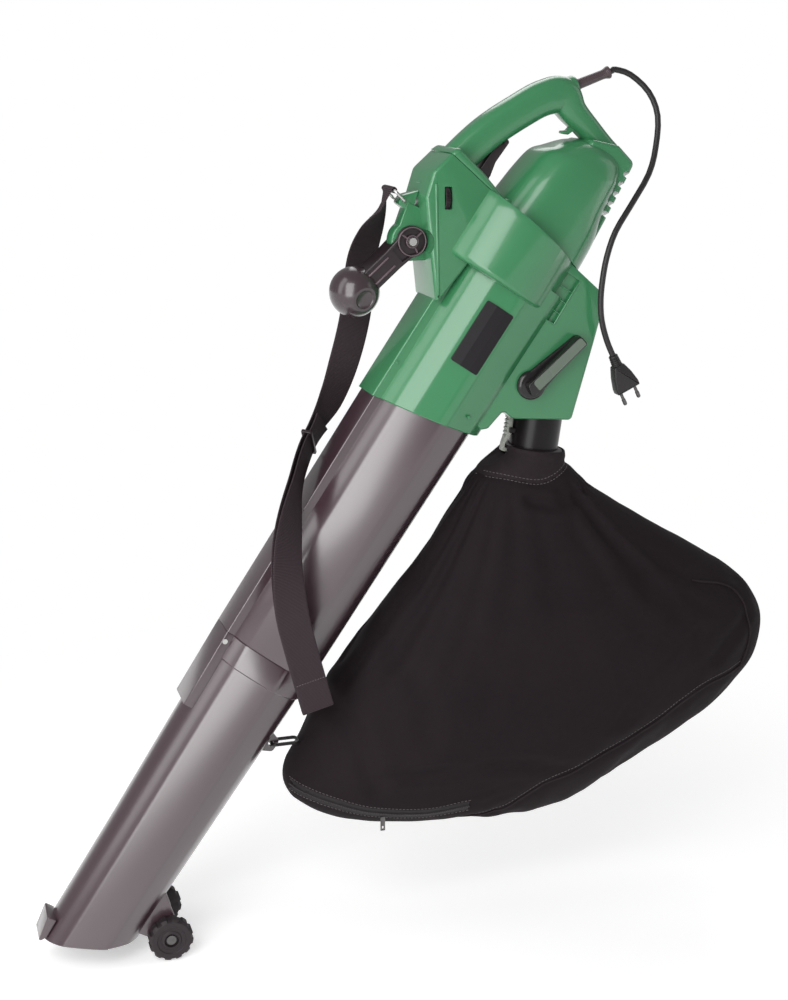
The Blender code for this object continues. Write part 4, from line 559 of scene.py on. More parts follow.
def show(name, target, finish, body="machine", stands_for=(), smooth=35):
    target.name = target.data.name = name
    target.data.materials.clear()
    target.data.materials.append(FINISH[finish])
    target.data.shade_smooth()
    target.data.set_sharp_from_angle(angle=math.radians(smooth))
    if body:
        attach(target, body)
    if stands_for:
        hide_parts(*stands_for)
    return target


# Rows of small forms by Geometry Nodes

STITCHES = {"Pitch": 0.0046, "Length": 0.0034, "Width": 0.0008, "Height": 0.0007}
STRAP_STITCHES = {"Pitch": 0.0030, "Length": 0.0024, "Width": 0.0009, "Height": 0.0007}
ZIP_TEETH = {"Pitch": 0.0022, "Length": 0.0012, "Width": 0.0042, "Height": 0.0012}
SCREW_HEAD = 0.0016


def form_tree(name, sizes):
    tree = bpy.data.node_groups.new(name, "GeometryNodeTree")
    sockets(tree, "INPUT", "NodeSocketGeometry", ["Line"])
    number_inputs(tree, sizes)
    sockets(tree, "OUTPUT", "NodeSocketGeometry", ["Row"])
    return tree, node(tree, "NodeGroupInput").outputs


def end_tree(tree, finish, **placed):
    """Ends a tree with its instances made real in their material."""
    placed = {key.title(): value for key, value in placed.items()}
    spread = node(tree, "GeometryNodeInstanceOnPoints", placed).outputs["Instances"]
    real = node(tree, "GeometryNodeRealizeInstances", {"Geometry": spread}).outputs["Geometry"]
    values = {"Geometry": real, "Material": FINISH[finish]}
    dressed = node(tree, "GeometryNodeSetMaterial", values).outputs["Geometry"]
    node(tree, "NodeGroupOutput", {"Row": dressed})
    return tree


def row_tree(name, form, finish):
    """A tree that sets one small form at every pitch along a line."""
    tree, into = form_tree(name, {"Pitch": 0.004, "Length": 0.003, "Width": 0.001, "Height": 0.0006})
    line = node(tree, "GeometryNodeMeshToCurve", {"Mesh": into["Line"]}).outputs["Curve"]
    spaced = {"Curve": line, "Length": into["Pitch"]}
    spaced = node(tree, "GeometryNodeCurveToPoints", spaced, mode="LENGTH").outputs
    if form == "stitch":
        ball = {"Segments": 8, "Rings": 5, "Radius": 0.5}
        piece = node(tree, "GeometryNodeMeshUVSphere", ball)
    else:
        piece = node(tree, "GeometryNodeMeshCube")
    size = dict(zip("XYZ", (into["Width"], into["Height"], into["Length"])))
    size = node(tree, "ShaderNodeCombineXYZ", size).outputs[0]
    placed = {"points": spaced["Points"], "instance": piece.outputs["Mesh"]}
    return end_tree(tree, finish, **placed, rotation=spaced["Rotation"], scale=size)


def screw_tree():
    """A tree that sets a cross-head screw on every point."""
    tree, into = form_tree("screw_set", {"Head radius": 0.0034, "Slot width": 0.0009})
    head = {"Vertices": 32, "Depth": SCREW_HEAD, "Radius": into["Head radius"]}
    head = node(tree, "GeometryNodeMeshCylinder", head).outputs["Mesh"]
    cutter = node(tree, "GeometryNodeMeshBoolean", {"Mesh 1": head}, operation="DIFFERENCE")
    long_side = calc(tree, "MULTIPLY", into["Head radius"], 1.4)
    for first, second in (("X", "Y"), ("Y", "X")):
        size = {first: long_side, second: into["Slot width"], "Z": SCREW_HEAD}
        size = node(tree, "ShaderNodeCombineXYZ", size).outputs[0]
        beam = node(tree, "GeometryNodeMeshCube", {"Size": size}).outputs["Mesh"]
        lifted = {"Geometry": beam, "Translation": (0, 0, SCREW_HEAD / 2)}
        lifted = node(tree, "GeometryNodeTransform", lifted).outputs["Geometry"]
        tree.links.new(lifted, cutter.inputs["Mesh 2"])
    placed = {"points": into["Line"], "instance": cutter.outputs["Mesh"]}
    return end_tree(tree, "dark_steel", **placed, rotation=(-math.pi / 2, 0, 0))


def row_along(name, lines, tree, sizes, finish, body="machine"):
    """Runs a row tree over lines of points and keeps the result as a plain mesh."""
    bm = bmesh.new()
    for line in lines:
        verts = [bm.verts.new(point) for point in line]
        for first, second in zip(verts, verts[1:]):
            bm.edges.new((first, second))
    row = kept(bm)
    row.name = row.data.name = name
    step = row.modifiers.new("row", "NODES")
    step.node_group = tree
    for item in tree.interface.items_tree:
        if item.item_type == "SOCKET" and item.name in sizes:
            step[item.identifier] = sizes[item.name]
    settle(row)
    row.data.materials.clear()
    row.data.materials.append(FINISH[finish])
    row.data.shade_smooth()
    if body:
        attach(row, body)
    return row


# Cord, with the length and lie that the frame gives it

CORD_LINE = (
    (0.1590, -0.0020, 0.0500), (0.1804, -0.0080, 0.0302), (0.1903, -0.0140, 0.0028),
    (0.1845, -0.0240, -0.0324), (0.1711, -0.0360, -0.0626), (0.1441, -0.0500, -0.0956),
    (0.1204, -0.0600, -0.1252), (0.1082, -0.0650, -0.1533), (0.1032, -0.0660, -0.1796),
    (0.1016, -0.0660, -0.2040), (0.1037, -0.0660, -0.2276), (0.1109, -0.0660, -0.2515),
    (0.1193, -0.0660, -0.2698),
)
GUARD_SPOT = Vector((0.4175, 0, 0.0520))
GUARD = MACHINE @ GUARD_SPOT
GUARD_WAY = Vector((math.cos(math.radians(19.8)), 0, math.sin(math.radians(19.8))))
GUARD_LENGTH, CORD_R = 0.044, 0.0035


def smooth_path(points, steps):
    path = []
    for k in range(len(points) - 1):
        four = [points[max(k - 1, 0)], points[k], points[k + 1], points[min(k + 2, len(points) - 1)]]
        for step in range(steps):
            u = step / steps
            weights = (
                (-u + 2 * u * u - u**3) / 2,
                (2 - 5 * u * u + 3 * u**3) / 2,
                (u + 4 * u * u - 3 * u**3) / 2,
                (u**3 - u * u) / 2,
            )
            path.append([sum(w * p[axis] for w, p in zip(weights, four)) for axis in range(len(points[0]))])
    path.append(list(points[-1]))
    return path


def build_cord():
    start = GUARD + GUARD_WAY * (GUARD_LENGTH + GAP)
    line = [tuple(start + GUARD_WAY * d) for d in (0, 0.004, 0.008)] + list(CORD_LINE)
    path = smooth_path(line, 3)
    curve = bpy.data.curves.new("power_cord_line", "CURVE")
    curve.dimensions = "3D"
    spline = curve.splines.new("POLY")
    spline.points.add(len(path) - 1)
    for point, co in zip(spline.points, path):
        point.co = (*co, 1)
    curve.bevel_depth = CORD_R
    curve.bevel_resolution = 6
    curve.use_fill_caps = True
    curve.materials.append(FINISH["rubber"])
    cord = linked("power_cord_line", curve)
    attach(cord, "machine")
    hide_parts("power_cord")
    end = Vector(path[-1])
    heading = (end - Vector(path[-2])).normalized()
    plug = build_plug(along(end + heading * GAP, heading))


def build_plug(place):
    """Contour plug: waisted sleeve with grip ribs, flat body and two bright pins."""
    upper = [(0.0130, 0.0066, 0.002), (0.0260, 0.0116, 0.008)]
    upper += [(0.0400, 0.0150, 0.004), (0.0460, 0.0150, 0.0015)]
    outline = rounded([(s, -t, radius) for s, t, radius in upper] + upper[::-1], 6)
    turn = place @ Matrix(((0, 0, 1, 0), (0, 1, 0, 0), (1, 0, 0, 0), (0, 0, 0, 1)))
    body = solid(slab(outline, -0.0075, 0.0075, 0.0022, 4), turn)
    sleeve = [(0, 0), (0, 0.0048), (0.0008, 0.0055)]
    for k in range(5):
        z, grown = 0.0022 + 0.0026 * k, 0.0002 * k
        sleeve += [(z, 0.0056 + grown), (z + 0.0004, 0.0049 + grown)]
        sleeve += [(z + 0.0012, 0.0049 + grown), (z + 0.0016, 0.0057 + grown)]
    sleeve += [(0.0160, 0.0065), (0.0160, 0)]
    shell = gather(body, solid(turned(sleeve, 40, place), HERE))
    show("plug_shell", shell, "rubber", stands_for=["power_plug"])
    pin = [(0.0450, 0), (0.0450, 0.0019), (0.0550, 0.0019), (0.0551, 0.0024)]
    pin += [(0.0612, 0.0024), (0.0625, 0.0017), (0.0630, 0.0006), (0.0630, 0)]
    spots = [place @ Matrix.Translation((side * 0.0095, 0, 0)) for side in (-1, 1)]
    metal = show("plug_pins", gather(*[solid(turned(pin, 24, spot), HERE) for spot in spots]), "dark_steel")
    metal.parent = shell
    metal.matrix_parent_inverse = shell.matrix_world.inverted()
    return shell


# Suction tubes


def bar(ends, half, edge, steps):
    """A flat bar along the tubes with rounded upper edges: each end has its s, slope and top."""
    rings = []
    for s, slope, top in ends:
        corner = [(-half, BAR_FOOT)] + [(inset - half, t) for inset, t in quarter(edge, steps, top)]
        outline = corner + [(-y, t) for y, t in corner[::-1]]
        rings.append([(s + slope * t, y, t) for y, t in outline])
    return skin(rings)


def build_rail(first, last, inside):
    """The flat rail on a tube, between two (s, slope) ends, hollowed where the tube's skin runs."""
    ends = [(s, slope, tube_radius(s) + RAIL_RISE) for s, slope in (first, last)]
    flat = solid(bar(ends, RAIL_HALF, RAIL_EDGE, 4))
    return carve(flat, soft_tube([(s, tube_radius(s) - 0.002) for s in inside]))


def build_upper_tube():
    low, spigot = JOINT_S + GAP, JOINT_S - 0.028
    top, slim = 0.032, JOINT_R - 0.0036
    outer = [(top, MOUTH_R), (low + 0.0012, tube_radius(low)), (low, tube_radius(low) - TUBE_LIP)]
    outer += [(low - 0.0002, slim), (spigot, slim)]
    tube = soft_tube(outer + [(spigot, slim - TUBE_WALL), (top, MOUTH_R - 2 * TUBE_WALL)], closed=True)
    flat = build_rail((-0.0006, MOUTH_SLOPE), (low + 0.0001, 0), (0.02, low - 0.02))
    show("upper_tube_shell", gather(tube, flat), "tube", stands_for=["upper_tube"])


def build_lower_tube():
    step, socket = JOINT_S - 0.030, JOINT_R - TUBE_WALL
    waist, tip = tube_radius(-0.60) - SOCKET_STEP, (NOZZLE_S + 0.0008, NOZZLE_S)
    rows = [
        (JOINT_S, tube_radius(JOINT_S) - TUBE_LIP),
        (JOINT_S - 0.0012, tube_radius(JOINT_S)),
        (step, tube_radius(step)),
        (step - 0.0015, tube_radius(step) - SOCKET_STEP),
        (-0.60, waist),
        (-0.715, NOZZLE_R, NOZZLE_SLOPE * 0.9),
        (tip[0], NOZZLE_R, NOZZLE_SLOPE),
        (tip[1], NOZZLE_R - TUBE_LIP, NOZZLE_SLOPE),
        (tip[1], NOZZLE_R - 0.0022, NOZZLE_SLOPE),
        (tip[0], NOZZLE_R - TUBE_WALL, NOZZLE_SLOPE),
        (-0.60, waist - TUBE_WALL),
        (JOINT_S - 0.0286, socket - TUBE_WALL),
        (JOINT_S - 0.0283, socket),
        (JOINT_S, socket),
    ]
    tube = soft_tube(rows, closed=True)
    flat = soften(build_rail((JOINT_S - 0.0001, 0), (RAIL_END_S, 0), (-0.32, -0.46)), 0.0012, 2, 50)
    parts = [tube, flat, build_nub(), *build_axle_cheeks(), build_tab()]
    show("lower_tube_shell", gather(*parts), "tube", stands_for=["lower_tube"])


def build_nub():
    """The small lip on the nozzle's upper edge."""
    tip = NOZZLE_S + NOZZLE_SLOPE * NOZZLE_R
    nub = [(tip + 0.030, NOZZLE_R + 0.010, 0.002), (tip + 0.030, NOZZLE_R - 0.002, 0)]
    nub += [(tip + 0.006, NOZZLE_R - 0.003, 0), (tip - 0.004, NOZZLE_R + 0.004, 0.002)]
    return solid(slab(rounded(nub, 4), -0.019, 0.019, 0.0015, 3))


def build_axle_cheeks():
    """Two cheeks and the keel between them, which carry the wheels' axle."""
    radius, near, far = tube_radius(WHEEL_S), 0.0285, 0.0335
    top, low = 0.004 - math.sqrt(radius**2 - far**2), WHEEL_T - 0.009
    cheek = [(WHEEL_S - 0.016, top, 0), (WHEEL_S - 0.012, low, 0.008)]
    cheek += [(WHEEL_S + 0.010, low, 0.008), (WHEEL_S + 0.050, top, 0)]
    parts = [solid(side_slab(rounded(cheek), side, near, far, 0.0012, 3)) for side in (-1, 1)]
    keel = [(WHEEL_S - 0.003, 0.006 - radius), (WHEEL_S - 0.003, WHEEL_T + 0.010)]
    keel += [(WHEEL_S + 0.003, WHEEL_T + 0.010), (WHEEL_S + 0.036, 0.006 - radius)]
    return parts + [solid(slab(keel, -0.031, 0.031))]


def build_tab():
    """The tab with an eye that the bag's clip hooks into."""
    s, t = RAIL_END_S, -tube_radius(RAIL_END_S)
    tab = [(s - 0.016, t + 0.004, 0), (s - 0.008, t - 0.016, 0.005)]
    tab += [(s + 0.008, t - 0.016, 0.005), (s + 0.016, t + 0.004, 0)]
    plate = solid(slab(rounded(tab), -0.003, 0.003, 0.0008, 2))
    return carve(plate, solid(rod((s, -0.01, t - 0.0085), (s, 0.01, t - 0.0085), 0.0035, 24)))


def build_wheels():
    """Rubber wheels with a stepped face and a row of treads round the rim."""
    half = WHEEL_HALF
    profile = [(-half, 0.0043), (-half, 0.0230), (-half + 0.0012, 0.0253), (-half + 0.003, WHEEL_R)]
    profile += [(half - 0.003, WHEEL_R), (half - 0.0012, 0.0253), (half, 0.0235), (half, 0.0178)]
    profile += [(half - 0.0012, 0.0168), (half - 0.0016, 0.0125), (half - 0.0004, 0.0112)]
    profile += [(half - 0.0002, 0.0088), (half - 0.004, 0.0085), (half - 0.004, 0.0043)]
    root, depth = 0.0245, 0.0018
    for side, name in ((-1, "wheel_left"), (1, "wheel_right")):
        place = Matrix.Translation((WHEEL_S, side * 0.0425, WHEEL_T)) @ ACROSS
        if side < 0:
            place = place @ Matrix.Rotation(math.pi, 4, "X")
        bm = turned(profile, 144, place, closed=True)
        for vert in bm.verts:
            arm = vert.co - Vector((WHEEL_S, vert.co.y, WHEEL_T))
            share = (math.atan2(arm.z, arm.x) / (2 * math.pi) * TREAD_COUNT) % 1
            if arm.length > root and 0.08 < share < 0.42:
                vert.co -= arm.normalized() * depth * min(1, (arm.length - root) / 0.0015)
        show(name + "_tread", solid(bm), "tyre", name, [name], 28)


# Front housing


def drafted(outline, half, edge, swell):
    """A slab that bulges rearwards from its faces to its parting line, as a drafted moulding does."""
    bm = slab(outline, -half, half, edge, 8)
    everything = bm.verts[:] + bm.edges[:] + bm.faces[:]
    bmesh.ops.bisect_plane(bm, geom=everything, plane_co=(0, 0, 0), plane_no=(0, 1, 0), dist=1e-6)
    bmesh.ops.recalc_face_normals(bm, faces=bm.faces)
    bm.normal_update()
    way = Vector((0.559, 0, -0.829))
    moves = [(v, way * swell * max(0.0, v.normal.dot(way))) for v in bm.verts if abs(v.co.y) < 1e-5]
    for vert, move in moves:
        vert.co += move
    return bm


def build_barrel():
    """The tube socket with its mouth, the ridge over the rail, and the ring round the fan."""
    radius, inside, rail_top = MOUTH_R + 0.0032, MOUTH_R + 0.0006, MOUTH_R + 0.0038
    stations = ((0.0, MOUTH_SLOPE, -0.0008), (0.001, MOUTH_SLOPE, 0.0), (0.055, -0.05, 0.0), (0.20, 0, 0.001))
    rings = [tube_ring(s, radius + more, slope, drop=0.0075) for s, slope, more in stations]
    inner = [(0.20, MOUTH_R - 0.008), (0.0325, MOUTH_R - 0.008), (0.0323, inside)]
    inner += [(0.0012, inside, MOUTH_SLOPE), (0.0, MOUTH_R + 0.0014, MOUTH_SLOPE)]
    barrel = solid(skin(rings + [tube_ring(*row) for row in inner], closed=True))
    top = MOUTH_R + 0.0067
    ridge = solid(bar([(0.0, MOUTH_SLOPE, top), (0.18, 0.0, top)], 0.0292, 0.0022, 5))
    way = [(-0.06, 0.03), (0.033, 0.03), (0.033, rail_top), (-0.06, rail_top)]
    core = skin([tube_ring(s, inside) for s in (-0.06, 0.19)])
    carve(ridge, solid(slab(way, -0.0263, 0.0263)), solid(core))
    mouth_cut = [(-0.03, 0.05), (0.0323, 0.05), (0.0323, rail_top), (-0.03, rail_top)]
    carve(barrel, solid(slab(mouth_cut, -0.0263, 0.0263)))
    band = [(0, 0.060), (0, FAN_RING_R - 0.006)] + quarter(0.006, 8, FAN_RING_R)[1:]
    band += [(0.0715, FAN_RING_R), (0.10, FAN_RING_R), (0.10, 0.060)]
    ring = turned(band, 160, along((FAN_RING_S, 0, FAN_T), (1, 0, 0)), closed=True)
    pips = []
    for s, y, t in ((0.0348, -0.0292, 0.0665), (0.0254, -0.0628, -0.0321)):
        pips.append(solid(rod((s, y + 0.002, t), (s, y - 0.0012, t), 0.0022, 32, 0.0008)))
    return [barrel, ridge, solid(split(ring, 1))] + pips


def build_shoulder():
    """The block behind the ridge, with the thumbwheel's slot, the room for the fork's ears and the lug."""
    outline = [(0.190, 0.0585, 0), (0.1135, 0.0668, 0.003), (0.2075, 0.1465, 0.009)]
    outline += [(0.236, 0.1550, 0.012), (0.300, 0.1385, 0), (0.300, 0.040, 0)]
    shoulder = solid(split(slab(rounded(outline), -SHOULDER_HALF, SHOULDER_HALF, 0.0045, 6), 1))
    cutters = []
    for side in (-1, 1):
        ends = [(PIVOT_S, side * y, PIVOT_T) for y in (LUG_HALF + GAP, 0.06)]
        cutters.append(solid(rod(*ends, 0.0192, 96)))
    slot = [(0.2296, 0.1345), (0.2345, 0.1269), (0.2134, 0.1123), (0.2085, 0.1200)]
    cutters.append(solid(slab(rounded([(s, t, 0.001) for s, t in slot], 3), -0.06, -0.0295)))
    carve(shoulder, *cutters)
    lug = [(0.196, 0.1535), (0.200, 0.110), (0.156, 0.090)] + arc(0.023, 222, 70, 32, (PIVOT_S, PIVOT_T))
    eye = [(0.1855, 0.1405, 0), (0.1872, 0.1618, 0.003), (0.1978, 0.1618, 0.003), (0.2125, 0.1485, 0)]
    parts = [shoulder, solid(slab(lug, -LUG_HALF, LUG_HALF, 0.0022, 4))]
    parts.append(solid(slab(rounded(eye), -0.010, 0.010, 0.001, 2)))
    for side in (-1, 1):
        ends = [(0.1240, side * 0.0390, 0.0712), (0.2270, side * 0.0390, 0.1446)]
        parts.append(solid(rod(*ends, 0.0020, 32, 0.001)))
    return parts


# Side view of the volute duct at its side faces
DUCT_CORNERS = (
    (0.262, -0.033, 0), (0.2560, -0.0460, 0.010), (0.2415, -0.0869, 0.012), (0.2065, -0.1132, 0.014),
    (0.1800, -0.1225, 0.010), (0.0885, -0.1528, 0.006), (0.0529, -0.0897, 0.005), (0.0518, -0.0828, 0.005),
    (0.0540, -0.0717, 0.005), (0.0263, -0.0671, 0.005), (0.0208, -0.0607, 0.005), (0.020, -0.033, 0),
)


def build_duct():
    """The volute duct with the louvred tray in its side."""
    duct = solid(split(drafted(rounded(DUCT_CORNERS), DUCT_HALF, 0.0040, 0.0153), 1))
    tray = [(0.229, -0.040), (0.229, -0.065), (0.170, -0.0662), (0.1671, -0.0373)]
    tray = rounded([(s, t, 0.003) for s, t in tray], 5)
    rim = ((0.2285, -0.0640), (0.1705, -0.0658), (0.1678, -0.0385))
    parts = [duct]
    for side in (-1, 1):
        carve(duct, solid(side_slab(tray, side, 0.08, DUCT_HALF - 0.0045)))
        for k in range(3):
            s = 0.1835 + 0.0142 * k
            blade = [(s, -0.0380), (s + 0.0014, -0.0380), (s + 0.0014, -0.0655), (s, -0.0655)]
            parts.append(solid(side_slab(blade, side, DUCT_HALF - 0.006, DUCT_HALF - 0.0006, 0.0004, 1)))
        corners = [(s, side * (DUCT_HALF - 0.0002), t) for s, t in rim]
        for ends in zip(corners, corners[1:]):
            parts.append(solid(rod(*ends, 0.0012, 20, 0.0006)))
    return parts


def build_front_housing():
    shell = gather(*build_barrel(), *build_shoulder(), *build_duct())
    nodes = ["front_housing_left", "front_housing_right"]
    show("front_housing_shell", shell, "green", stands_for=nodes, smooth=30)


# Rear housing and main handle

# The motor cover's sections: s, half width, low and high edge, and how square each one is
COVER_RINGS = (
    (0.2350, 0.0625, -0.0660, 0.0660, 2.8),
    (0.2750, 0.0605, -0.0630, 0.0610, 2.9),
    (0.3050, 0.0590, -0.0540, 0.0570, 3.0),
    (0.3310, 0.0565, -0.0500, 0.0515, 3.0),
    (0.3450, 0.0540, -0.0480, 0.0400, 3.0),
    (0.3620, 0.0470, -0.0440, 0.0250, 2.7),
    (0.3720, 0.0340, -0.0370, 0.0100, 2.4),
)
# The grip's middle line with its depth and width: s, t, depth, width
GRIP_LINE = (
    (0.2195, 0.1318, 0.040, 0.036), (0.2613, 0.1274, 0.040, 0.036), (0.3120, 0.1138, 0.040, 0.036),
    (0.3595, 0.0917, 0.040, 0.036), (0.3840, 0.0770, 0.041, 0.036), (0.3975, 0.0600, 0.043, 0.034),
    (0.3907, 0.0379, 0.0325, 0.032), (0.3851, 0.0102, 0.0275, 0.031), (0.3790, -0.0150, 0.027, 0.031),
    (0.3720, -0.0382, 0.034, 0.031),
)
NECK_CORNERS = (
    (0.2380, 0.0300, 0), (0.2380, 0.1565, 0), (0.2640, 0.1495, 0.006), (0.2760, 0.1440, 0.006),
    (0.2690, 0.1050, 0.006), (0.2640, 0.0855, 0.006), (0.2585, 0.0650, 0.006), (0.2640, 0.0500, 0),
    (0.2640, 0.0300, 0),
)
HOOK_CORNERS = (
    (0.3900, 0.0220, 0), (0.3760, 0.0245, 0.002), (0.3655, 0.0290, 0.002), (0.3620, 0.0370, 0.0015),
    (0.3650, 0.0380, 0.0015), (0.3690, 0.0325, 0.002), (0.3900, 0.0300, 0),
)
VENT_BLOCK_CORNERS = (
    (0.270, -0.0460, 0), (0.270, -0.0590, 0), (0.307, -0.0560, 0.002), (0.362, -0.0505, 0.002),
    (0.379, -0.0485, 0.008), (0.3845, -0.0200, 0.007), (0.372, 0.0120, 0.006), (0.330, 0.0125, 0),
    (0.288, -0.0150, 0),
)
VENT_S, VENT_PITCH, VENT_WIDTH, VENT_COUNT = 0.3082, 0.0128, 0.0062, 5


def grip_rings():
    rows = smooth_path(GRIP_LINE, 8)
    rings = []
    for k, (s, t, depth, width) in enumerate(rows):
        before, after = rows[max(k - 1, 0)], rows[min(k + 1, len(rows) - 1)]
        way = Vector((after[0] - before[0], after[1] - before[1])).normalized()
        out = Vector((-way.y, way.x))
        section = oval(width / 2, -depth / 2, depth / 2, 88, 3.0)
        rings.append([(s + out.x * swing, y, t + out.y * swing) for y, swing in section])
    return rings


def build_vent_block():
    vents = []
    for k in range(VENT_COUNT):
        s = VENT_S + VENT_PITCH * k
        top = -0.0472 + (s - VENT_S) * 0.09
        spot = [(s, -0.09, 0), (s, top, 0.002), (s + VENT_WIDTH, top, 0.002), (s + VENT_WIDTH, -0.09, 0)]
        vents.append(solid(slab(rounded(spot, 4), -0.08, 0.08)))
    return carve(solid(drafted(rounded(VENT_BLOCK_CORNERS), 0.038, 0.005, 0.014)), *vents)


def build_rear_housing():
    sections = smooth_path(COVER_RINGS, 8)
    cover = [[(s, y, t) for y, t in oval(w, low, high, 128, power)] for s, w, low, high, power in sections]
    cover = solid(split(skin(cover), -1))
    neck = solid(split(slab(rounded(NECK_CORNERS), -SHOULDER_HALF, SHOULDER_HALF, 0.006, 8), -1))
    grip = solid(skin(grip_rings()))
    slot = [(0.3222, 0.099), (0.3222, 0.070), (0.2570, 0.070), (0.2570, 0.1095), (0.290, 0.1065)]
    for part in (grip, neck):
        carve(part, solid(slab(slot, -0.0091, 0.0091)))
    upright = (TURN.inverted() @ GUARD_WAY).normalized()
    boss = [(-0.022, 0), (-0.022, 0.0150), (-0.008, 0.0135), (0.003, 0.0125), (0.0048, 0.0119)]
    boss += [(0.0064, 0.0104), (0.0072, 0.0080), (0.0072, 0)]
    boss = solid(turned(boss, 72, along(GUARD_SPOT - upright * 0.006, upright)))
    hook = solid(slab(rounded(HOOK_CORNERS, 6), -0.005, 0.005, 0.0008, 2))
    shell = gather(cover, build_vent_block(), neck, grip, boss, hook)
    nodes = ["rear_housing_left", "rear_housing_right"]
    show("rear_housing_shell", shell, "green", stands_for=nodes, smooth=30)


# Floor and light

LAMPS = (
    ("upper_left", (-0.855, -0.105, 0.507), 2.2, (0.8, 2.4), 12),
    ("front_left", (-0.602, -0.719, 0.347), 2.0, (1.2, 2.2), 36),
    ("right_fill", (0.93, -0.28, 0.25), 2.4, (1.2, 2.0), 6),
    ("back_rim", (0.30, 0.58, 0.75), 2.2, (1.4, 1.4), 12),
)
LIT_CENTRE = Vector((-0.1, 0, -0.45))
WHITE = (1, 1, 1, 1)
FLOOR_GLOW, SKY_SEEN, SKY_LIGHT = 0.42, 0.74, 0.26


def rays(tree, *kinds):
    """1 on rays of either kind, else 0."""
    path = node(tree, "ShaderNodeLightPath").outputs
    return calc(tree, "MAXIMUM", *[path[kind] for kind in kinds])


def build_floor():
    """A pale floor that fades to white round the machine."""
    lowest = cad_box[0][2]
    bm = bmesh.new()
    bmesh.ops.create_grid(bm, x_segments=1, y_segments=1, size=9.0)
    bm.transform(Matrix.Translation((0, 0, lowest - 0.0005)))
    floor = solid(bm, HERE)
    floor.name = floor.data.name = "floor"
    ground = bpy.data.materials.new("pale_floor")
    ground.use_nodes = True
    tree = ground.node_tree
    seen = rays(tree, "Is Camera Ray", "Is Glossy Ray")
    plain = {"Base Color": (0.9, 0.9, 0.9, 1), "Roughness": 0.9, "Specular IOR Level": 0.1}
    plain.update({"Emission Color": WHITE, "Emission Strength": calc(tree, "MULTIPLY", seen, FLOOR_GLOW)})
    plain = fill(tree, tree.nodes["Principled BSDF"], plain).outputs[0]
    place = node(tree, "ShaderNodeTexCoord").outputs["Object"]
    reach = node(tree, "ShaderNodeVectorMath", {0: place, 1: (-0.15, 0.1, lowest)}, operation="DISTANCE")
    fade = {"Value": reach.outputs["Value"], "From Min": 0.45, "From Max": 1.05}
    fade = node(tree, "ShaderNodeMapRange", fade, interpolation_type="SMOOTHSTEP").outputs[0]
    white = node(tree, "ShaderNodeEmission").outputs[0]
    blend = node(tree, "ShaderNodeMixShader", {0: calc(tree, "MULTIPLY", fade, seen), 1: plain, 2: white})
    fill(tree, tree.nodes["Material Output"], {"Surface": blend.outputs[0]})
    floor.data.materials.append(ground)


def build_light():
    world = bpy.data.worlds.new("studio")
    bpy.context.scene.world = world
    world.use_nodes = True
    tree = world.node_tree
    seen = rays(tree, "Is Camera Ray", "Is Transmission Ray")
    strength = calc(tree, "ADD", calc(tree, "MULTIPLY", seen, SKY_SEEN), SKY_LIGHT)
    fill(tree, tree.nodes["Background"], {"Color": WHITE, "Strength": strength})
    for name, way, away, sides, power in LAMPS:
        data = bpy.data.lights.new(name, "AREA")
        data.shape = "RECTANGLE"
        data.size, data.size_y = sides
        data.energy = power
        lamp = linked(name, data)
        lamp.location = LIT_CENTRE + Vector(way).normalized() * away
        lamp.rotation_euler = (LIT_CENTRE - lamp.location).to_track_quat("-Z", "Y").to_euler()


# Spout, collar and catch

OUTLET = along(MACHINE @ Vector((0.0735, 0, -0.1335)), TURN @ Vector((-0.8980, 0, -0.4400)))
TURNED_OUTLET = OUTLET @ Matrix.Rotation(math.pi, 4, "Z")
# The outlet's frame with its x axis to the machine's front, where the catch sits
CATCH = OUTLET if (OUTLET.to_3x3() @ Vector((1, 0, 0))).x < 0 else TURNED_OUTLET
SPOUT_R, SPOUT_WALL, SPOUT_LENGTH = 0.0305, 0.0025, 0.050


def build_spout():
    inner, outer, length, lip = SPOUT_R - SPOUT_WALL, SPOUT_R, SPOUT_LENGTH, 0.0008
    profile = [(-0.010, inner), (-0.010, outer), (length - lip, outer), (length, outer - lip)]
    profile += [(length, inner + lip), (length - lip, inner)]
    parts = [solid(turned(profile, 128, OUTLET, closed=True), HERE)]
    for side in (-1, 1):
        spot = CATCH @ Matrix.Translation((SPOUT_R + 0.0022, side * 0.0078, 0.0200))
        parts.append(solid(block(spot, (0.0040, 0.0020, 0.0034), 0.0007), HERE))
    show("outlet_spout_shell", gather(*parts), "spout", stands_for=["outlet_spout"])


def build_collar():
    """Snap ring in the bag's neck, with a rounded bead that the catch's hook grips."""
    start, end, inside = SPOUT_LENGTH - 0.012, SPOUT_LENGTH + 0.0005, SPOUT_R + GAP
    profile = [(start, inside), (start, SPOUT_R + 0.0022), (start + 0.0004, SPOUT_R + 0.0028)]
    for k in range(9):
        a = math.radians(150 - 130 * k / 8)
        spot = start + 0.0029 + 0.0026 * math.cos(math.pi - a)
        profile.append((spot, SPOUT_R + 0.0035 + 0.003 * math.sin(a)))
    profile.sort(key=lambda point: point[0])
    profile += [(start + 0.0056, SPOUT_R + 0.0036), (end - 0.0005, SPOUT_R + 0.0035), (end, SPOUT_R + 0.003)]
    collar = solid(turned(profile + [(end, inside)], 128, OUTLET, closed=True), HERE)
    show("collar_ring", collar, "black", stands_for=["bag_collar"])


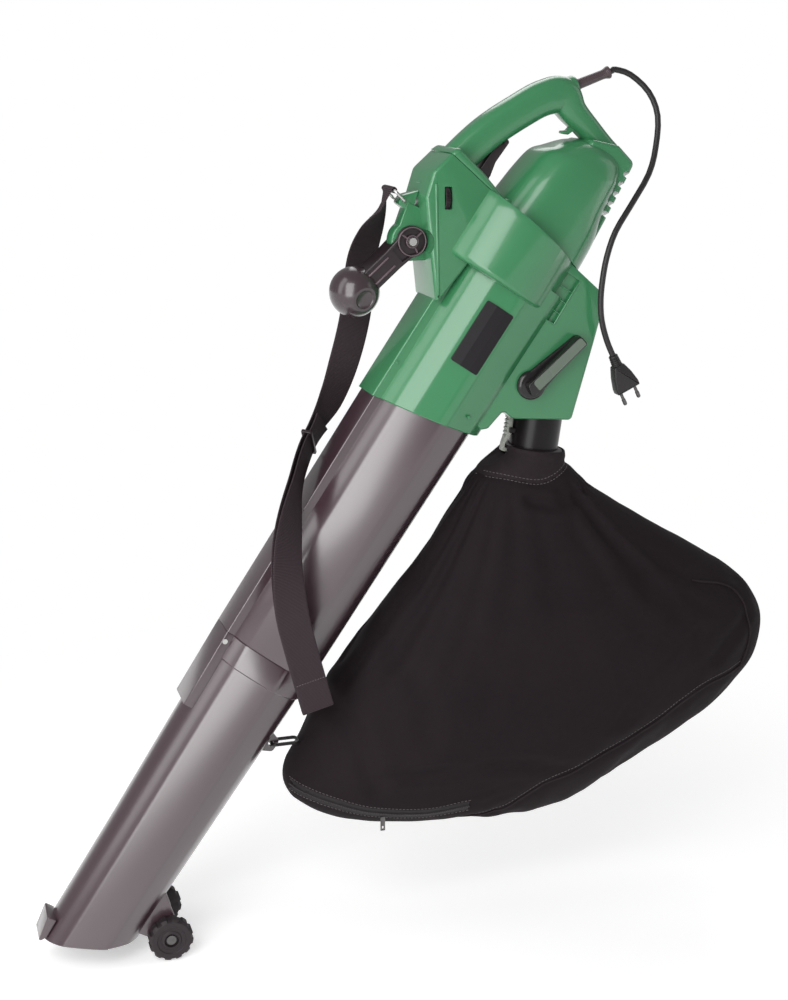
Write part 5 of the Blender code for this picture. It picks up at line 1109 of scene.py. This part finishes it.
def build_catch():
    """Thumb latch with five finger grooves, drawn in the plane of the spout's axis."""
    outer = [(0.0022, 0.0020), (0.0060, 0.0020), (0.0066, 0.0024)]
    for k in range(5):
        z = 0.0036 + 0.0048 * k
        outer += [(0.0080, z), (0.0080, z + 0.0024), (0.0064, z + 0.0030), (0.0064, z + 0.0040)]
    outer += [(0.0080, 0.0280), (0.0082, 0.0310), (0.0095, 0.0370), (0.0095, 0.0462), (0.0087, 0.0470)]
    outer += [(0.0033, 0.0470), (0.0033, 0.0434), (0.0066, 0.0424), (0.0066, 0.0370), (0.0035, 0.0320)]
    outer += [(0.0004, 0.0240), (0.0004, 0.0160)]
    base = SPOUT_R + 0.0012
    catch = solid(slab([(base + x, z) for x, z in outer], -0.0052, 0.0052, 0.0005, 2), CATCH)
    show("catch_body", catch, "grey", "bag_catch", ["bag_catch"], 40)


# Collection bag

BAG_TOP = MACHINE @ Vector((0.022, 0, -0.151))
# Slices of the hanging bag: drop below the spout's end, left and right edge, and half thickness
BAG_SLICES = (
    (0.005, -0.056, 0.049, 0.041), (0.019, -0.072, 0.064, 0.043), (0.030, -0.084, 0.083, 0.046),
    (0.050, -0.100, 0.117, 0.054), (0.090, -0.131, 0.184, 0.069), (0.153, -0.176, 0.285, 0.086),
    (0.200, -0.210, 0.324, 0.097), (0.243, -0.238, 0.331, 0.104), (0.290, -0.266, 0.315, 0.106),
    (0.335, -0.290, 0.273, 0.102), (0.375, -0.312, 0.208, 0.092), (0.408, -0.302, 0.153, 0.080),
    (0.432, -0.262, 0.106, 0.066), (0.446, -0.200, 0.075, 0.048), (0.456, -0.130, 0.045, 0.032),
    (0.464, -0.070, 0.012, 0.015), (0.4665, -0.050, -0.008, 0.004),
)
BAG_SIDES = 120
# The hem round the collar: distance down the spout, radius, and how much of it dips under the catch
HEM = (
    (0.0514, 0.0335, 0.0), (0.0511, 0.0372, 0.0), (0.0500, 0.0379, 0.0), (0.0402, 0.0380, 0.9),
    (0.0386, 0.0387, 1.0), (0.0394, 0.0398, 1.0), (0.0450, 0.0412, 0.6),
)
# Lines on the cloth as (x, z) of the front: the cuff's stitched edge, the gusset's seam and the zip
CUFF_LINE = (
    (-0.085, -0.408), (-0.058, -0.415), (-0.007, -0.417), (0.041, -0.425), (0.078, -0.413), (0.100, -0.405),
)
SEAM_LINE = (
    (-0.060, -0.858), (-0.011, -0.840), (0.040, -0.801), (0.081, -0.788), (0.178, -0.741),
    (0.246, -0.699), (0.317, -0.685),
)
TIP_LINE = ((0.317, -0.685), (0.328, -0.640), (0.306, -0.584), (0.239, -0.560))
ZIP_LINE = ((-0.268, -0.787), (-0.222, -0.803), (-0.175, -0.817), (-0.110, -0.826), (-0.057, -0.820))
# Folds of the front as lines of (x, z), with depth and half width
FOLDS = (
    (((0.024, -0.444), (0.059, -0.453), (0.099, -0.446)), 0.0040, 0.007),
    (((-0.228, -0.675), (-0.201, -0.708), (-0.181, -0.763), (-0.174, -0.786)), 0.0050, 0.011),
    (((-0.162, -0.765), (-0.120, -0.767), (-0.085, -0.762)), 0.0042, 0.008),
    (((-0.033, -0.760), (0.020, -0.765), (0.065, -0.782)), 0.0042, 0.008),
    (((-0.034, -0.791), (-0.021, -0.816), (-0.016, -0.844)), 0.0036, 0.007),
    (((0.174, -0.541), (0.235, -0.541), (0.289, -0.538)), 0.0034, 0.007),
    (((0.263, -0.660), (0.322, -0.617)), 0.0040, 0.008),
    (((0.241, -0.620), (0.235, -0.686)), 0.0036, 0.008),
    (((0.241, -0.620), (0.180, -0.668), (0.131, -0.723)), 0.0044, 0.010),
    (((0.041, -0.557), (0.116, -0.556), (0.204, -0.526)), 0.0034, 0.012),
    (((-0.058, -0.430), (-0.090, -0.480), (-0.118, -0.540)), 0.0036, 0.010),
    (((0.075, -0.440), (0.130, -0.500), (0.170, -0.560)), 0.0030, 0.012),
    (((-0.150, -0.600), (-0.120, -0.660), (-0.110, -0.720)), 0.0030, 0.014),
)
# Ditches along the sewn lines, with depth and half width
DITCHES = ((SEAM_LINE, 0.0030, 0.007), (TIP_LINE, 0.0016, 0.006), (CUFF_LINE, 0.0016, 0.004))
AIR = {
    "quality": 4, "mass": 0.25, "tension_stiffness": 12, "compression_stiffness": 4, "shear_stiffness": 4,
    "bending_stiffness": 0.15, "use_pressure": True, "uniform_pressure_force": 2.2,
    "vertex_group_mass": "held",
}
AIR_STEPS = 20


def distance_to(line, x, z):
    """Distance from (x, z) to a line of points."""
    best, here = 1e9, Vector((x, z))
    for first, last in zip(line, line[1:]):
        a, b = Vector(first), Vector(last)
        share = max(0.0, min(1.0, (here - a).dot(b - a) / (b - a).length_squared))
        best = min(best, (here - a - (b - a) * share).length)
    return best


def bag_ring(drop, left, right, half):
    middle, reach = (left + right) / 2, (right - left) / 2
    ring = []
    for a in turns(BAG_SIDES):
        x = middle + reach * math.copysign(abs(math.cos(a)) ** 0.9, math.cos(a))
        y = half * math.copysign(abs(math.sin(a)) ** 0.9, math.sin(a))
        ring.append((BAG_TOP.x + x, y, BAG_TOP.z - drop))
    return ring


def hem_ring(down, radius, dips):
    ring = []
    for a in turns(BAG_SIDES):
        off = abs((math.degrees(a) + 180) % 360 - 180)
        dip = 0.0112 * dips * max(0.0, min(1.0, (22 - off) / 8))
        ring.append(CATCH @ Vector((radius * math.cos(a), radius * math.sin(a), down + dip)))
    return ring


def bag_mesh():
    """The sewn bag, lofted from its neck on the collar down to its toe."""
    slices = [bag_ring(*row) for row in BAG_SLICES]
    hems = [hem_ring(*row) for row in HEM]
    first, ahead = Vector(slices[0][0]), Vector(slices[0][BAG_SIDES // 4])
    start = min(range(BAG_SIDES), key=lambda k: (hems[-1][k] - first).length)
    near = [(hems[-1][(start + step * BAG_SIDES // 4) % BAG_SIDES] - ahead).length for step in (1, -1)]
    step = 1 if near[0] < near[1] else -1
    hems = [[tuple(hem[(start + step * k) % BAG_SIDES]) for k in range(BAG_SIDES)] for hem in hems]
    columns = [smooth_path([ring[k] for ring in hems + slices], 6) for k in range(BAG_SIDES)]
    return skin([[column[row] for column in columns] for row in range(len(columns[0]))])


def swell(bag):
    """Lets air and a little of the cloth's own weight shape the bag, held at its neck, toe and zip."""
    rest = [vert.co.copy() for vert in bag.data.vertices]
    held = bag.vertex_groups.new(name="held")
    for vert in bag.data.vertices:
        x, _, z = vert.co
        fast = z > BAG_TOP.z - 0.016 or x < -0.262 or z < -0.858
        near = min(distance_to(SEAM_LINE, x, z), distance_to(ZIP_LINE, x, z)) if vert.co.y < 0 else 1
        held.add([vert.index], 1.0 if fast else (0.7 if near < 0.006 else 0.0), "REPLACE")
    cloth = bag.modifiers.new("air", "CLOTH")
    for key, value in AIR.items():
        setattr(cloth.settings, key, value)
    cloth.settings.effector_weights.gravity = 0.15
    cloth.collision_settings.use_collision = False
    cloth.collision_settings.use_self_collision = False
    cloth.point_cache.frame_start = 1
    cloth.point_cache.frame_end = AIR_STEPS
    scene = bpy.context.scene
    for moment in range(1, AIR_STEPS + 1):
        scene.frame_set(moment)
    settle(bag)
    scene.frame_set(1)
    for vert, before in zip(bag.data.vertices, rest):
        moved = vert.co - before
        wide = 0.0025 if before.x < -0.20 else 0.009
        if moved.length > wide:
            vert.co = before + moved * (wide / moved.length)
    bag.vertex_groups.clear()


def crease(bag):
    """Presses the folds, the seam's ditch and slow wrinkles into the cloth along its normals."""
    normals = [vert.normal.copy() for vert in bag.data.vertices]
    for vert, normal in zip(bag.data.vertices, normals):
        x, y, z = vert.co
        side = 1 if y < 0 else 0.8
        shift = 0.0
        for line, depth, half in FOLDS:
            u = distance_to(line if y < 0 else [(a + 0.012, b - 0.010) for a, b in line], x, z) / half
            if u < 4:
                shift += side * depth * (0.45 * math.exp(-((u - 1.7) ** 2) * 1.4) - math.exp(-u * u))
        for line, depth, half in DITCHES:
            u = distance_to(line, x, z) / half
            if u < 3:
                shift -= depth * math.exp(-u * u)
        pull = min(1.0, max(0.0, (BAG_TOP.z - 0.012 - z) / 0.06))
        shift += pull * 0.0042 * noise.noise(Vector((x * 9, y * 5, z * 5 + 3.7)))
        shift += pull * 0.0020 * noise.noise(Vector((x * 34 + z * 12, y * 16, z * 21 - x * 16)))
        vert.co += normal * shift


def on_cloth(tree, line, steps=10, lift=0.0002, shift=(0.0, 0.0)):
    """Points of a smooth (x, z) line laid on the bag's front."""
    points = []
    for x, z in smooth_path([(x + shift[0], z + shift[1]) for x, z in line], steps):
        spot, normal, _, _ = tree.ray_cast(Vector((x, -0.4, z)), Vector((0, 1, 0)))
        if spot:
            points.append(spot + normal * lift)
    return points


def piping(points, radius, count=8):
    """A round cord laid along points."""
    rings = []
    for k, here in enumerate(points):
        heading = (points[min(k + 1, len(points) - 1)] - points[max(k - 1, 0)]).normalized()
        side = heading.cross(Vector((0, 1, 0))).normalized()
        up = side.cross(heading)
        rings.append([here + side * radius * math.cos(a) + up * radius * math.sin(a) for a in turns(count)])
    return solid(skin(rings), HERE)


def build_bag(stitch, tooth):
    bag = solid(bag_mesh(), HERE)
    swell(bag)
    crease(bag)
    finer = bag.modifiers.new("finer", "SUBSURF")
    finer.levels = finer.render_levels = 1
    settle(bag)
    show("bag_cloth", bag, "bag", stands_for=["collection_bag"], smooth=60)
    bag.data.materials.append(FINISH["cuff"])
    cuff = smooth_path(CUFF_LINE, 4)
    for face in bag.data.polygons:
        centre = face.center
        edge = min(cuff, key=lambda point: abs(point[0] - centre.x))[1]
        face.material_index = 1 if centre.z > edge else 0
    tree = BVHTree.FromPolygons([v.co for v in bag.data.vertices], [p.vertices for p in bag.data.polygons])
    cords = [piping(on_cloth(tree, line, 12, 0.0006), 0.0014) for line in (SEAM_LINE, TIP_LINE)]
    show("bag_piping", gather(*cords), "cuff", smooth=60)
    lines = [on_cloth(tree, CUFF_LINE, 8, shift=(0, down)) for down in (-0.0015, 0.004)]
    lines.append(on_cloth(tree, SEAM_LINE, shift=(-0.002, 0.007)))
    lines += [on_cloth(tree, ZIP_LINE, shift=(0, down)) for down in (-0.0085, 0.0085)]
    row_along("bag_stitches", lines, stitch, STITCHES, "thread")
    build_zip(tree, tooth)


def build_zip(tree, tooth):
    """Coil zip along the bag's lower edge: the tape and a row of teeth."""
    lower, upper = [on_cloth(tree, ZIP_LINE, 12, shift=(0, down)) for down in (-0.007, 0.007)]
    out = Vector((0, -0.0009, 0))
    rings = []
    for low, high in zip(lower, upper):
        ring = [low + out * 0.2, low.lerp(high, 0.45) + out, low.lerp(high, 0.55) + out]
        rings.append(ring + [high + out * 0.2, high - out, low - out])
    show("zip_tape", solid(skin(rings), HERE), "zip", smooth=40)
    middle = [low.lerp(high, 0.5) + Vector((0, -0.0012, 0)) for low, high in zip(lower, upper)]
    row_along("zip_teeth", [middle], tooth, ZIP_TEETH, "tooth")


# Shoulder strap

# The strap's middle line: x, z, y, then the turn of its width from across the machine to along it
STRAP_LINE = (
    (-0.1425, -0.0900, 0.004, 14), (-0.1495, -0.1210, 0.026, 62), (-0.1560, -0.1600, 0.046, 84),
    (-0.1635, -0.2275, 0.050, 90), (-0.1780, -0.2830, 0.050, 85), (-0.1960, -0.3260, 0.046, 65),
    (-0.2310, -0.3700, 0.024, 35), (-0.2600, -0.4090, -0.026, 30), (-0.2830, -0.4750, -0.078, 65),
    (-0.2810, -0.5361, -0.090, 88), (-0.2706, -0.5861, -0.090, 90), (-0.2516, -0.6600, -0.090, 90),
)
STRAP_STEPS, STRAP_GAP = 8, 0.0052
WEB_WIDTH, WEB_THICK = 0.038, 0.0022
RING_BASE, RING_OUT = Vector((0.1925, 0, 0.1585)), Vector((0.19, 0, 0.98)).normalized()
RING_DEPTH, RING_HALF, RING_WIRE_R = 0.018, 0.0225, 0.00175
# The slide's section across one bar: half length, half height, and place through its thickness
SLIDE_SECTION = (
    (0.0209, 0.0060, -0.0020), (0.0215, 0.0066, -0.0014), (0.0215, 0.0066, 0.0014), (0.0209, 0.0060, 0.0020),
    (0.0202, 0.0050, 0.0020), (0.0196, 0.0044, 0.0014), (0.0196, 0.0044, -0.0014), (0.0202, 0.0050, -0.0020),
)


def strap_frames(line):
    """Points of the band, each with the direction of its width and that of its face."""
    frames = []
    for k, (x, z, y, turn) in enumerate(line):
        before, nxt = line[max(k - 1, 0)], line[min(k + 1, len(line) - 1)]
        tangent = Vector((nxt[0] - before[0], nxt[2] - before[2], nxt[1] - before[1])).normalized()
        a = math.radians(turn)
        rough = Vector((math.sin(a), math.cos(a), 0))
        wide = (rough - tangent * rough.dot(tangent)).normalized()
        frames.append((Vector((x, y, z)), wide, wide.cross(tangent).normalized()))
    return frames


def strap_route():
    """Frames of the one length of webbing: round the ring, down to the fold and back up."""
    bar_spot = MACHINE @ (RING_BASE + RING_OUT * RING_DEPTH)
    reach = RING_WIRE_R + GAP + WEB_THICK / 2
    loop = []
    for x, z in arc(1, -60, 180, 18):
        out = Vector((x, 0, z))
        loop.append((bar_spot + out * reach, Vector((0, 1, 0)), out))
    line = smooth_path(STRAP_LINE, STRAP_STEPS)
    down = strap_frames(line)
    if down[0][2].x > 0:
        down = [(here, wide, -face) for here, wide, face in down]
    start = STRAP_STEPS * 11 // 2
    back = []
    for (here, wide, face), (_, _, front) in zip(strap_frames(line[start:]), down[start:]):
        side = 1 if face.dot(front) > 0 else -1
        back.append((here - face * side * STRAP_GAP, wide, -front))
    middle = (down[-1][0] + back[-1][0]) / 2
    half = (down[-1][0] - back[-1][0]) / 2
    heading = (down[-1][0] - down[-2][0]).normalized()
    fold = []
    for k in range(1, 12):
        a = math.pi * k / 12
        out = half.normalized() * math.cos(a) + heading * math.sin(a)
        fold.append((middle + out * half.length, down[-1][1], out))
    return loop, down, fold, back[::-1]


def web_section(count=32):
    """Across the webbing, with rounded and slightly thicker selvedges."""
    section = []
    for k in range(count):
        a = 2 * math.pi * (k + 0.5) / count
        x = math.copysign(abs(math.cos(a)) ** 0.3, math.cos(a))
        y = math.copysign(abs(math.sin(a)) ** 0.5, math.sin(a))
        section.append((x * WEB_WIDTH / 2, y * WEB_THICK / 2 * (1.0 if abs(x) < 0.86 else 1.12)))
    return section


def web_mesh(frames):
    """Webbing along frames, with its own UV map in metres across and along."""
    section = web_section()
    bm = bmesh.new()
    band = bm.loops.layers.uv.new("band")
    loops, travel, run = [], [], 0.0
    for k, (here, wide, face) in enumerate(frames):
        if k:
            run += (here - frames[k - 1][0]).length
        travel.append(run)
        loops.append([bm.verts.new(here + wide * x + face * y) for x, y in section])
    for row in range(len(loops) - 1):
        for k in range(len(section)):
            nxt = (k + 1) % len(section)
            spots = ((k, row), (nxt, row), (nxt, row + 1), (k, row + 1))
            face = bm.faces.new([loops[r][j] for j, r in spots])
            for corner, (j, r) in zip(face.loops, spots):
                corner[band].uv = (section[j][0], travel[r])
    bm.faces.new(loops[0][::-1])
    bm.faces.new(loops[-1])
    return solid(bm, HERE)


def build_strap(stitch):
    loop, down, fold, back = strap_route()
    strap = web_mesh(loop + down + fold + back)
    show("shoulder_strap_webbing", strap, "strap", None, ["shoulder_strap"], 50)
    lines = []
    for run, spots in ((down, (3, 4, len(down) - 7, len(down) - 3)), (back, (4,))):
        for here, wide, face in [run[spot] for spot in spots]:
            lines.append([here + wide * x + face * (WEB_THICK / 2 + 0.0001) for x in (-0.016, 0, 0.016)])
    row_along("strap_stitches", lines[2:], stitch, STRAP_STITCHES, "thread")
    gathered = row_along("strap_gather_stitches", lines[:2], stitch, STRAP_STITCHES, "thread", None)
    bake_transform(strap)
    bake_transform(gathered)
    build_slide(down[6 * STRAP_STEPS])


def build_slide(frame_here):
    """Slide of moulded plastic that holds both layers of the webbing."""
    here, wide, face = frame_here
    centre, tangent = here - face * STRAP_GAP / 2, wide.cross(face)
    place = Matrix.Translation(centre) @ Matrix((wide, face, tangent)).transposed().to_4x4()
    rings = []
    for a, b, high in SLIDE_SECTION:
        corners = [(x, y, 0.002) for x, y in ((-a, -b), (a, -b), (a, b), (-a, b))]
        rings.append([(x, y, high) for x, y in rounded(corners, 5)])
    slide = solid(skin(rings, closed=True), place)
    show("slide_frame", slide, "black", stands_for=["strap_slide"])


def build_strap_ring():
    """A bent wire rectangle that stands on the housing's eye."""
    side, up = Vector((0, 1, 0)), RING_OUT.cross(Vector((0, 1, 0)))
    corners = [(-RING_HALF, 0), (RING_HALF, 0), (RING_HALF, RING_DEPTH), (-RING_HALF, RING_DEPTH)]
    outline = rounded([(a, b, 0.004) for a, b in corners], 10)
    rings = []
    for k, (a, b) in enumerate(outline):
        before, after = Vector(outline[k - 1]), Vector(outline[(k + 1) % len(outline)])
        heading = (after - before).normalized()
        flat = side * heading.y - RING_OUT * heading.x
        middle = RING_BASE + side * a + RING_OUT * b
        ring = [flat * RING_WIRE_R * math.cos(c) + up * RING_WIRE_R * math.sin(c) for c in turns(20)]
        rings.append([middle + arm for arm in ring])
    ring = solid(skin(rings, closed=True))
    show("ring_wire", ring, "steel", "strap_ring", ["strap_ring"], 60)


# Front handle

EAR_R, STEM_LENGTH, STEM_DEPTH, STEM_HALF = 0.0180, 0.086, 0.026, 0.018
STEM_ANGLE, KNOB_TURN = math.radians(165.5), math.radians(-20.0)
KNOB_R, KNOB_HALF, KNOB_END_R = 0.0295, 0.0255, 0.0145
BOLT_HOLE_R, FORK_ROOM_R, POCKET_R = 0.0033, 0.0245, 0.0148
PIVOT = Vector((PIVOT_S, 0, PIVOT_T))
STEM_WAY = Vector((math.cos(STEM_ANGLE), 0, math.sin(STEM_ANGLE)))
FORK = Matrix.Translation(PIVOT) @ Matrix.Rotation(-STEM_ANGLE, 4, "Y")
FORK_PLACE = MACHINE @ FORK


def knob_place():
    axle = Vector((0, 1, 0))
    axle.rotate(Matrix.Rotation(KNOB_TURN, 3, STEM_WAY))
    return along(PIVOT + STEM_WAY * STEM_LENGTH, axle)


def knob_mesh(grow=0.0):
    """The barrel-shaped knob with a dished disc in each end, or the plain room for it where it grows."""
    long_half = KNOB_HALF / math.sqrt(1 - (KNOB_END_R / KNOB_R) ** 2)
    profile = []
    for k in range(33):
        h = -KNOB_HALF * math.cos(math.pi * k / 32)
        profile.append((h * (1 + grow / KNOB_HALF), KNOB_R * math.sqrt(1 - (h / long_half) ** 2) + grow))
    if grow:
        profile = [(-KNOB_HALF - grow, 0)] + profile + [(KNOB_HALF + grow, 0)]
    else:
        disc = [(0.0014, 0.0), (0.0014, 0.0098), (0.0006, 0.0108), (0.0, 0.0114), (0.0, 0.0140)]
        first = [(-KNOB_HALF + dip, radius) for dip, radius in disc]
        last = [(KNOB_HALF - dip, radius) for dip, radius in disc[::-1]]
        profile = first + profile[1:-1] + last
    return turned(profile, 96, knob_place())


def across_fork(radius, count=32):
    return solid(rod((0, -0.05, 0), (0, 0.05, 0), radius, count), FORK_PLACE)


def build_yoke():
    """The fork's stem with its two dished ears, cut free for the lug, the bolt and the knob."""
    half = STEM_DEPTH / 2
    stem = [(0.030, -half), (STEM_LENGTH, -half), (STEM_LENGTH, half), (0.030, half)]
    yoke = slab(arc(EAR_R, 52, 308, 32) + stem, -STEM_HALF, STEM_HALF, 0.0024, 5)
    yoke = solid(yoke, FORK_PLACE)
    inner, reach = LUG_HALF + GAP, FORK_ROOM_R
    room = slab([(-0.05, -reach), (-0.05, reach)] + arc(reach, 90, -90, 24), -inner, inner)
    cutters = [solid(room, FORK_PLACE), solid(knob_mesh(GAP)), across_fork(BOLT_HOLE_R)]
    pocket = arc(POCKET_R, 50, 310, 24) + [(0.0240, -0.0092), (0.0240, 0.0092)]
    cutters += [solid(side_slab(pocket, side, 0.0142, 0.03), FORK_PLACE) for side in (-1, 1)]
    return carve(yoke, *cutters)


def build_front_handle():
    parts, beads = [build_yoke()], []
    for side in (-1, 1):
        hub = solid(rod((0, side * 0.0138, 0), (0, side * 0.0180, 0), 0.0075, 48, 0.0008), FORK_PLACE)
        parts.append(carve(hub, across_fork(BOLT_HOLE_R)))
        for angle in (75, 180, 285):
            c, d = math.cos(math.radians(angle)), math.sin(math.radians(angle))
            web = ((0.0068, -0.0008), (0.0152, -0.0008), (0.0152, 0.0008), (0.0068, 0.0008))
            web = [(c * a - d * b, d * a + c * b) for a, b in web]
            beads.append(solid(side_slab(web, side, 0.0138, 0.0172), FORK_PLACE))
        for v in (-0.0062, 0.0062):
            rib = [(0.033, v - 0.0011), (0.064, v - 0.0011), (0.064, v + 0.0011), (0.033, v + 0.0011)]
            beads.append(solid(side_slab(rib, side, 0.0170, 0.0190, 0.0007, 2), FORK_PLACE))
        place = FORK @ along(Vector((0, side * 0.0179, 0)), Vector((0, side, 0)))
        for radius in (0.0163, 0.0068):
            profile = [(0.0008 * math.cos(a), radius + 0.0008 * math.sin(a)) for a in turns(12)]
            beads.append(solid(turned(profile, 64, place, closed=True)))
    nodes = ["front_handle_fork"]
    show("front_handle_fork_shell", gather(*parts), "black", "front_handle", nodes, 30)
    # The beads' lighter finish is a painted highlight along the ear rims, webs and ribs
    show("front_handle_beads", gather(*beads), "bead", "front_handle")
    knob = solid(knob_mesh())
    show("knob_shell", knob, "gloss_knob", "front_handle", ["front_handle_knob"], 40)


# Controls

LEVER = Matrix.Translation((0.0965, -DUCT_HALF - GAP, -0.0815)) @ Matrix.Rotation(math.radians(15), 4, "Y")
DIAL_R, DIAL_HALF, DIAL_SIDES, MILLING = 0.014, 0.00275, 144, 0.0009


def capsule(reach, first_r, last_r, steps=24):
    """Outline round two circles on the first axis and their common tangents."""
    open_angle = math.acos((first_r - last_r) / reach)
    spans = (
        (0, first_r, open_angle, 2 * math.pi - 2 * open_angle),
        (reach, last_r, -open_angle, 2 * open_angle),
    )
    points = []
    for middle, radius, start, sweep in spans:
        for k in range(steps + 1):
            angle = start + sweep * k / steps
            points.append((middle + radius * math.cos(angle), radius * math.sin(angle)))
    return points


def build_lever():
    place = MACHINE @ LEVER
    arm = solid(slab(capsule(0.0735, 0.0152, 0.0085), -0.0062, -0.0004, 0.0020, 4), place)
    hub = [(0, 0), (0, 0.0172), (0.0045, 0.0172), (0.0062, 0.0160), (0.0074, 0.0136), (0.0080, 0.0100)]
    hub = solid(turned(hub + [(0.0082, 0)], 96, place @ Matrix.Rotation(math.pi / 2, 4, "X")), HERE)
    fin = [(-0.010, -0.0076, 0.0030), (0.0800, -0.0062, 0.0030)]
    fin += [(0.0800, 0.0080, 0.0050), (-0.006, 0.0080, 0.0050)]
    fin = solid(slab(rounded(fin, 8), -0.0180, -0.0030, 0.0014, 4), place)
    shell = gather(arm, hub, fin)
    show("selector_lever_shell", shell, "gloss_black", "selector", ["selector_lever"], 35)
    face = [(0.0010, -0.0062, 0.0016), (0.0786, -0.0048, 0.0016)]
    face += [(0.0786, 0.0066, 0.0036), (0.0010, 0.0066, 0.0036)]
    inlay = solid(slab(rounded(face, 6), -0.0183, -0.0176, 0.0002, 1), place)
    show("lever_inlay", inlay, "lever_face", "selector")


def build_trigger():
    outline = [(0.3210, 0.0925, 0.0015), (0.3180, 0.0860, 0.003), (0.2900, 0.0875, 0.012)]
    outline += [(0.2740, 0.0840, 0.004), (0.2620, 0.0835, 0.003), (0.2620, 0.1000, 0.002)]
    outline += [(0.3000, 0.0985, 0.002), (0.3185, 0.0965, 0.002)]
    trigger = solid(slab(rounded(outline), -0.0085, 0.0085, 0.0016, 4))
    pin = solid(rod((0.314, -0.0118, 0.0905), (0.314, 0.0118, 0.0905), 0.0020, 32))
    grooves = []
    for k in range(5):
        s, t = 0.2720 + 0.0050 * k, 0.0837 + 0.0004 * k
        grooves.append(solid(rod((s, -0.02, t), (s, 0.02, t), 0.0009, 16)))
    shell = gather(carve(trigger, *grooves), pin)
    show("trigger_shell", shell, "black", "trigger", ["trigger"], 35)


def build_dial():
    """Thumbwheel with a milled rim, standing across the shoulder's left face."""
    level = TURN.inverted().to_3x3() @ Vector((1, 0, 0))
    place = MACHINE @ along((0.221, -0.0300, 0.124), level)
    half, radius = DIAL_HALF, DIAL_R
    profile = [(-half, 0.0023), (-half, radius - 0.0008), (-half + 0.0006, radius), (half - 0.0006, radius)]
    profile += [(half, radius - 0.0008), (half, 0.0023)]
    bm = turned(profile, DIAL_SIDES, HERE, closed=True)
    for vert in bm.verts:
        reach = math.hypot(vert.co.x, vert.co.y)
        turn = round(math.atan2(vert.co.y, vert.co.x) / (2 * math.pi) * DIAL_SIDES) % 3
        if reach > radius * 0.9 and turn == 0:
            vert.co.x *= 1 - MILLING / reach
            vert.co.y *= 1 - MILLING / reach
    show("speed_wheel", solid(bm, place), "black", "speed_dial", ["speed_dial"], 30)


def build_cord_guard():
    """Tapered strain relief sleeve with a flared lip."""
    profile = [(-0.012, 0.0), (-0.012, 0.0055), (-0.0005, 0.0055), (0.0, 0.0074), (0.0024, 0.0074)]
    profile += [(0.0030, 0.0070), (0.0036, 0.0062)]
    profile += [(0.0060 + 0.0038 * k, 0.0060 - 0.00007 * k) for k in range(8)]
    profile += [(0.0362, 0.0056), (0.0388, 0.0062), (0.0408, 0.0070), (0.0426, 0.0074), (0.0436, 0.0073)]
    profile += [(GUARD_LENGTH, 0.0068), (GUARD_LENGTH, 0.0)]
    guard = solid(turned(profile, 64, along(GUARD, GUARD_WAY)), HERE)
    show("cord_guard_sleeve", guard, "sleeve", stands_for=["cord_guard"])


# Screws on the housings' right side

SCREW_SPOTS = (
    (0.2250, 0.0505, -0.0980), (0.1120, 0.0505, -0.1360), (0.0720, 0.0505, -0.0800),
    (0.1450, 0.0505, -0.0620), (0.1900, 0.0405, 0.0900), (0.2300, 0.0405, 0.1400),
    (0.2560, 0.0405, 0.1350), (0.2860, 0.0385, -0.0460), (0.3720, 0.0385, -0.0350),
    (0.3350, 0.0183, 0.1030), (0.3880, 0.0158, 0.0240),
)


def build_screws():
    cup = [(-0.003, 0.0036), (-0.003, 0.0054), (0.0004, 0.0054)]
    cup += [(0.0009, 0.0049), (0.0009, 0.0041), (0.0003, 0.0036)]
    places = [Matrix.Translation(spot) @ ACROSS for spot in SCREW_SPOTS]
    cups = [solid(turned(cup, 40, place, closed=True)) for place in places]
    show("screw_cups", gather(*cups), "green")
    points = [MACHINE @ Vector((s, y - 0.0004, t)) for s, y, t in SCREW_SPOTS]
    row_along("housing_screws", [[point] for point in points], screw_tree(), {}, "dark_steel")


# CAD pieces that stay as they are, with their finishes
CARRIED = {
    "badge": ["badge_plate"],
    "steel": [
        "pivot_bolt", "pivot_nut", "joint_screw", "catch_pin", "rotor_shaft", "front_bearing", "rear_bearing",
    ],
    "dark_steel": ["zip_puller", "wheel_axle", "motor"],
    "black_wire": ["bag_clip"],
    "black": ["impeller", "trigger_switch"],
    "tube": ["fan_cover_plate", "selector_flap"],
    "board": ["speed_module"],
}


def finish_carried():
    for finish, names in CARRIED.items():
        for name in names:
            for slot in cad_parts[name].material_slots:
                slot.material = FINISH[finish]


def main():
    bpy.context.scene.view_settings.view_transform = "Standard"
    build_camera()
    build_materials()
    build_floor()
    build_light()
    build_cord()
    build_upper_tube()
    build_lower_tube()
    build_wheels()
    build_front_housing()
    build_rear_housing()
    build_spout()
    build_collar()
    build_catch()
    stitch = row_tree("stitch_row", "stitch", "thread")
    build_bag(stitch, row_tree("zip_teeth_row", "tooth", "tooth"))
    build_strap(stitch)
    build_strap_ring()
    build_front_handle()
    build_lever()
    build_trigger()
    build_dial()
    build_cord_guard()
    build_screws()
    finish_carried()


main()
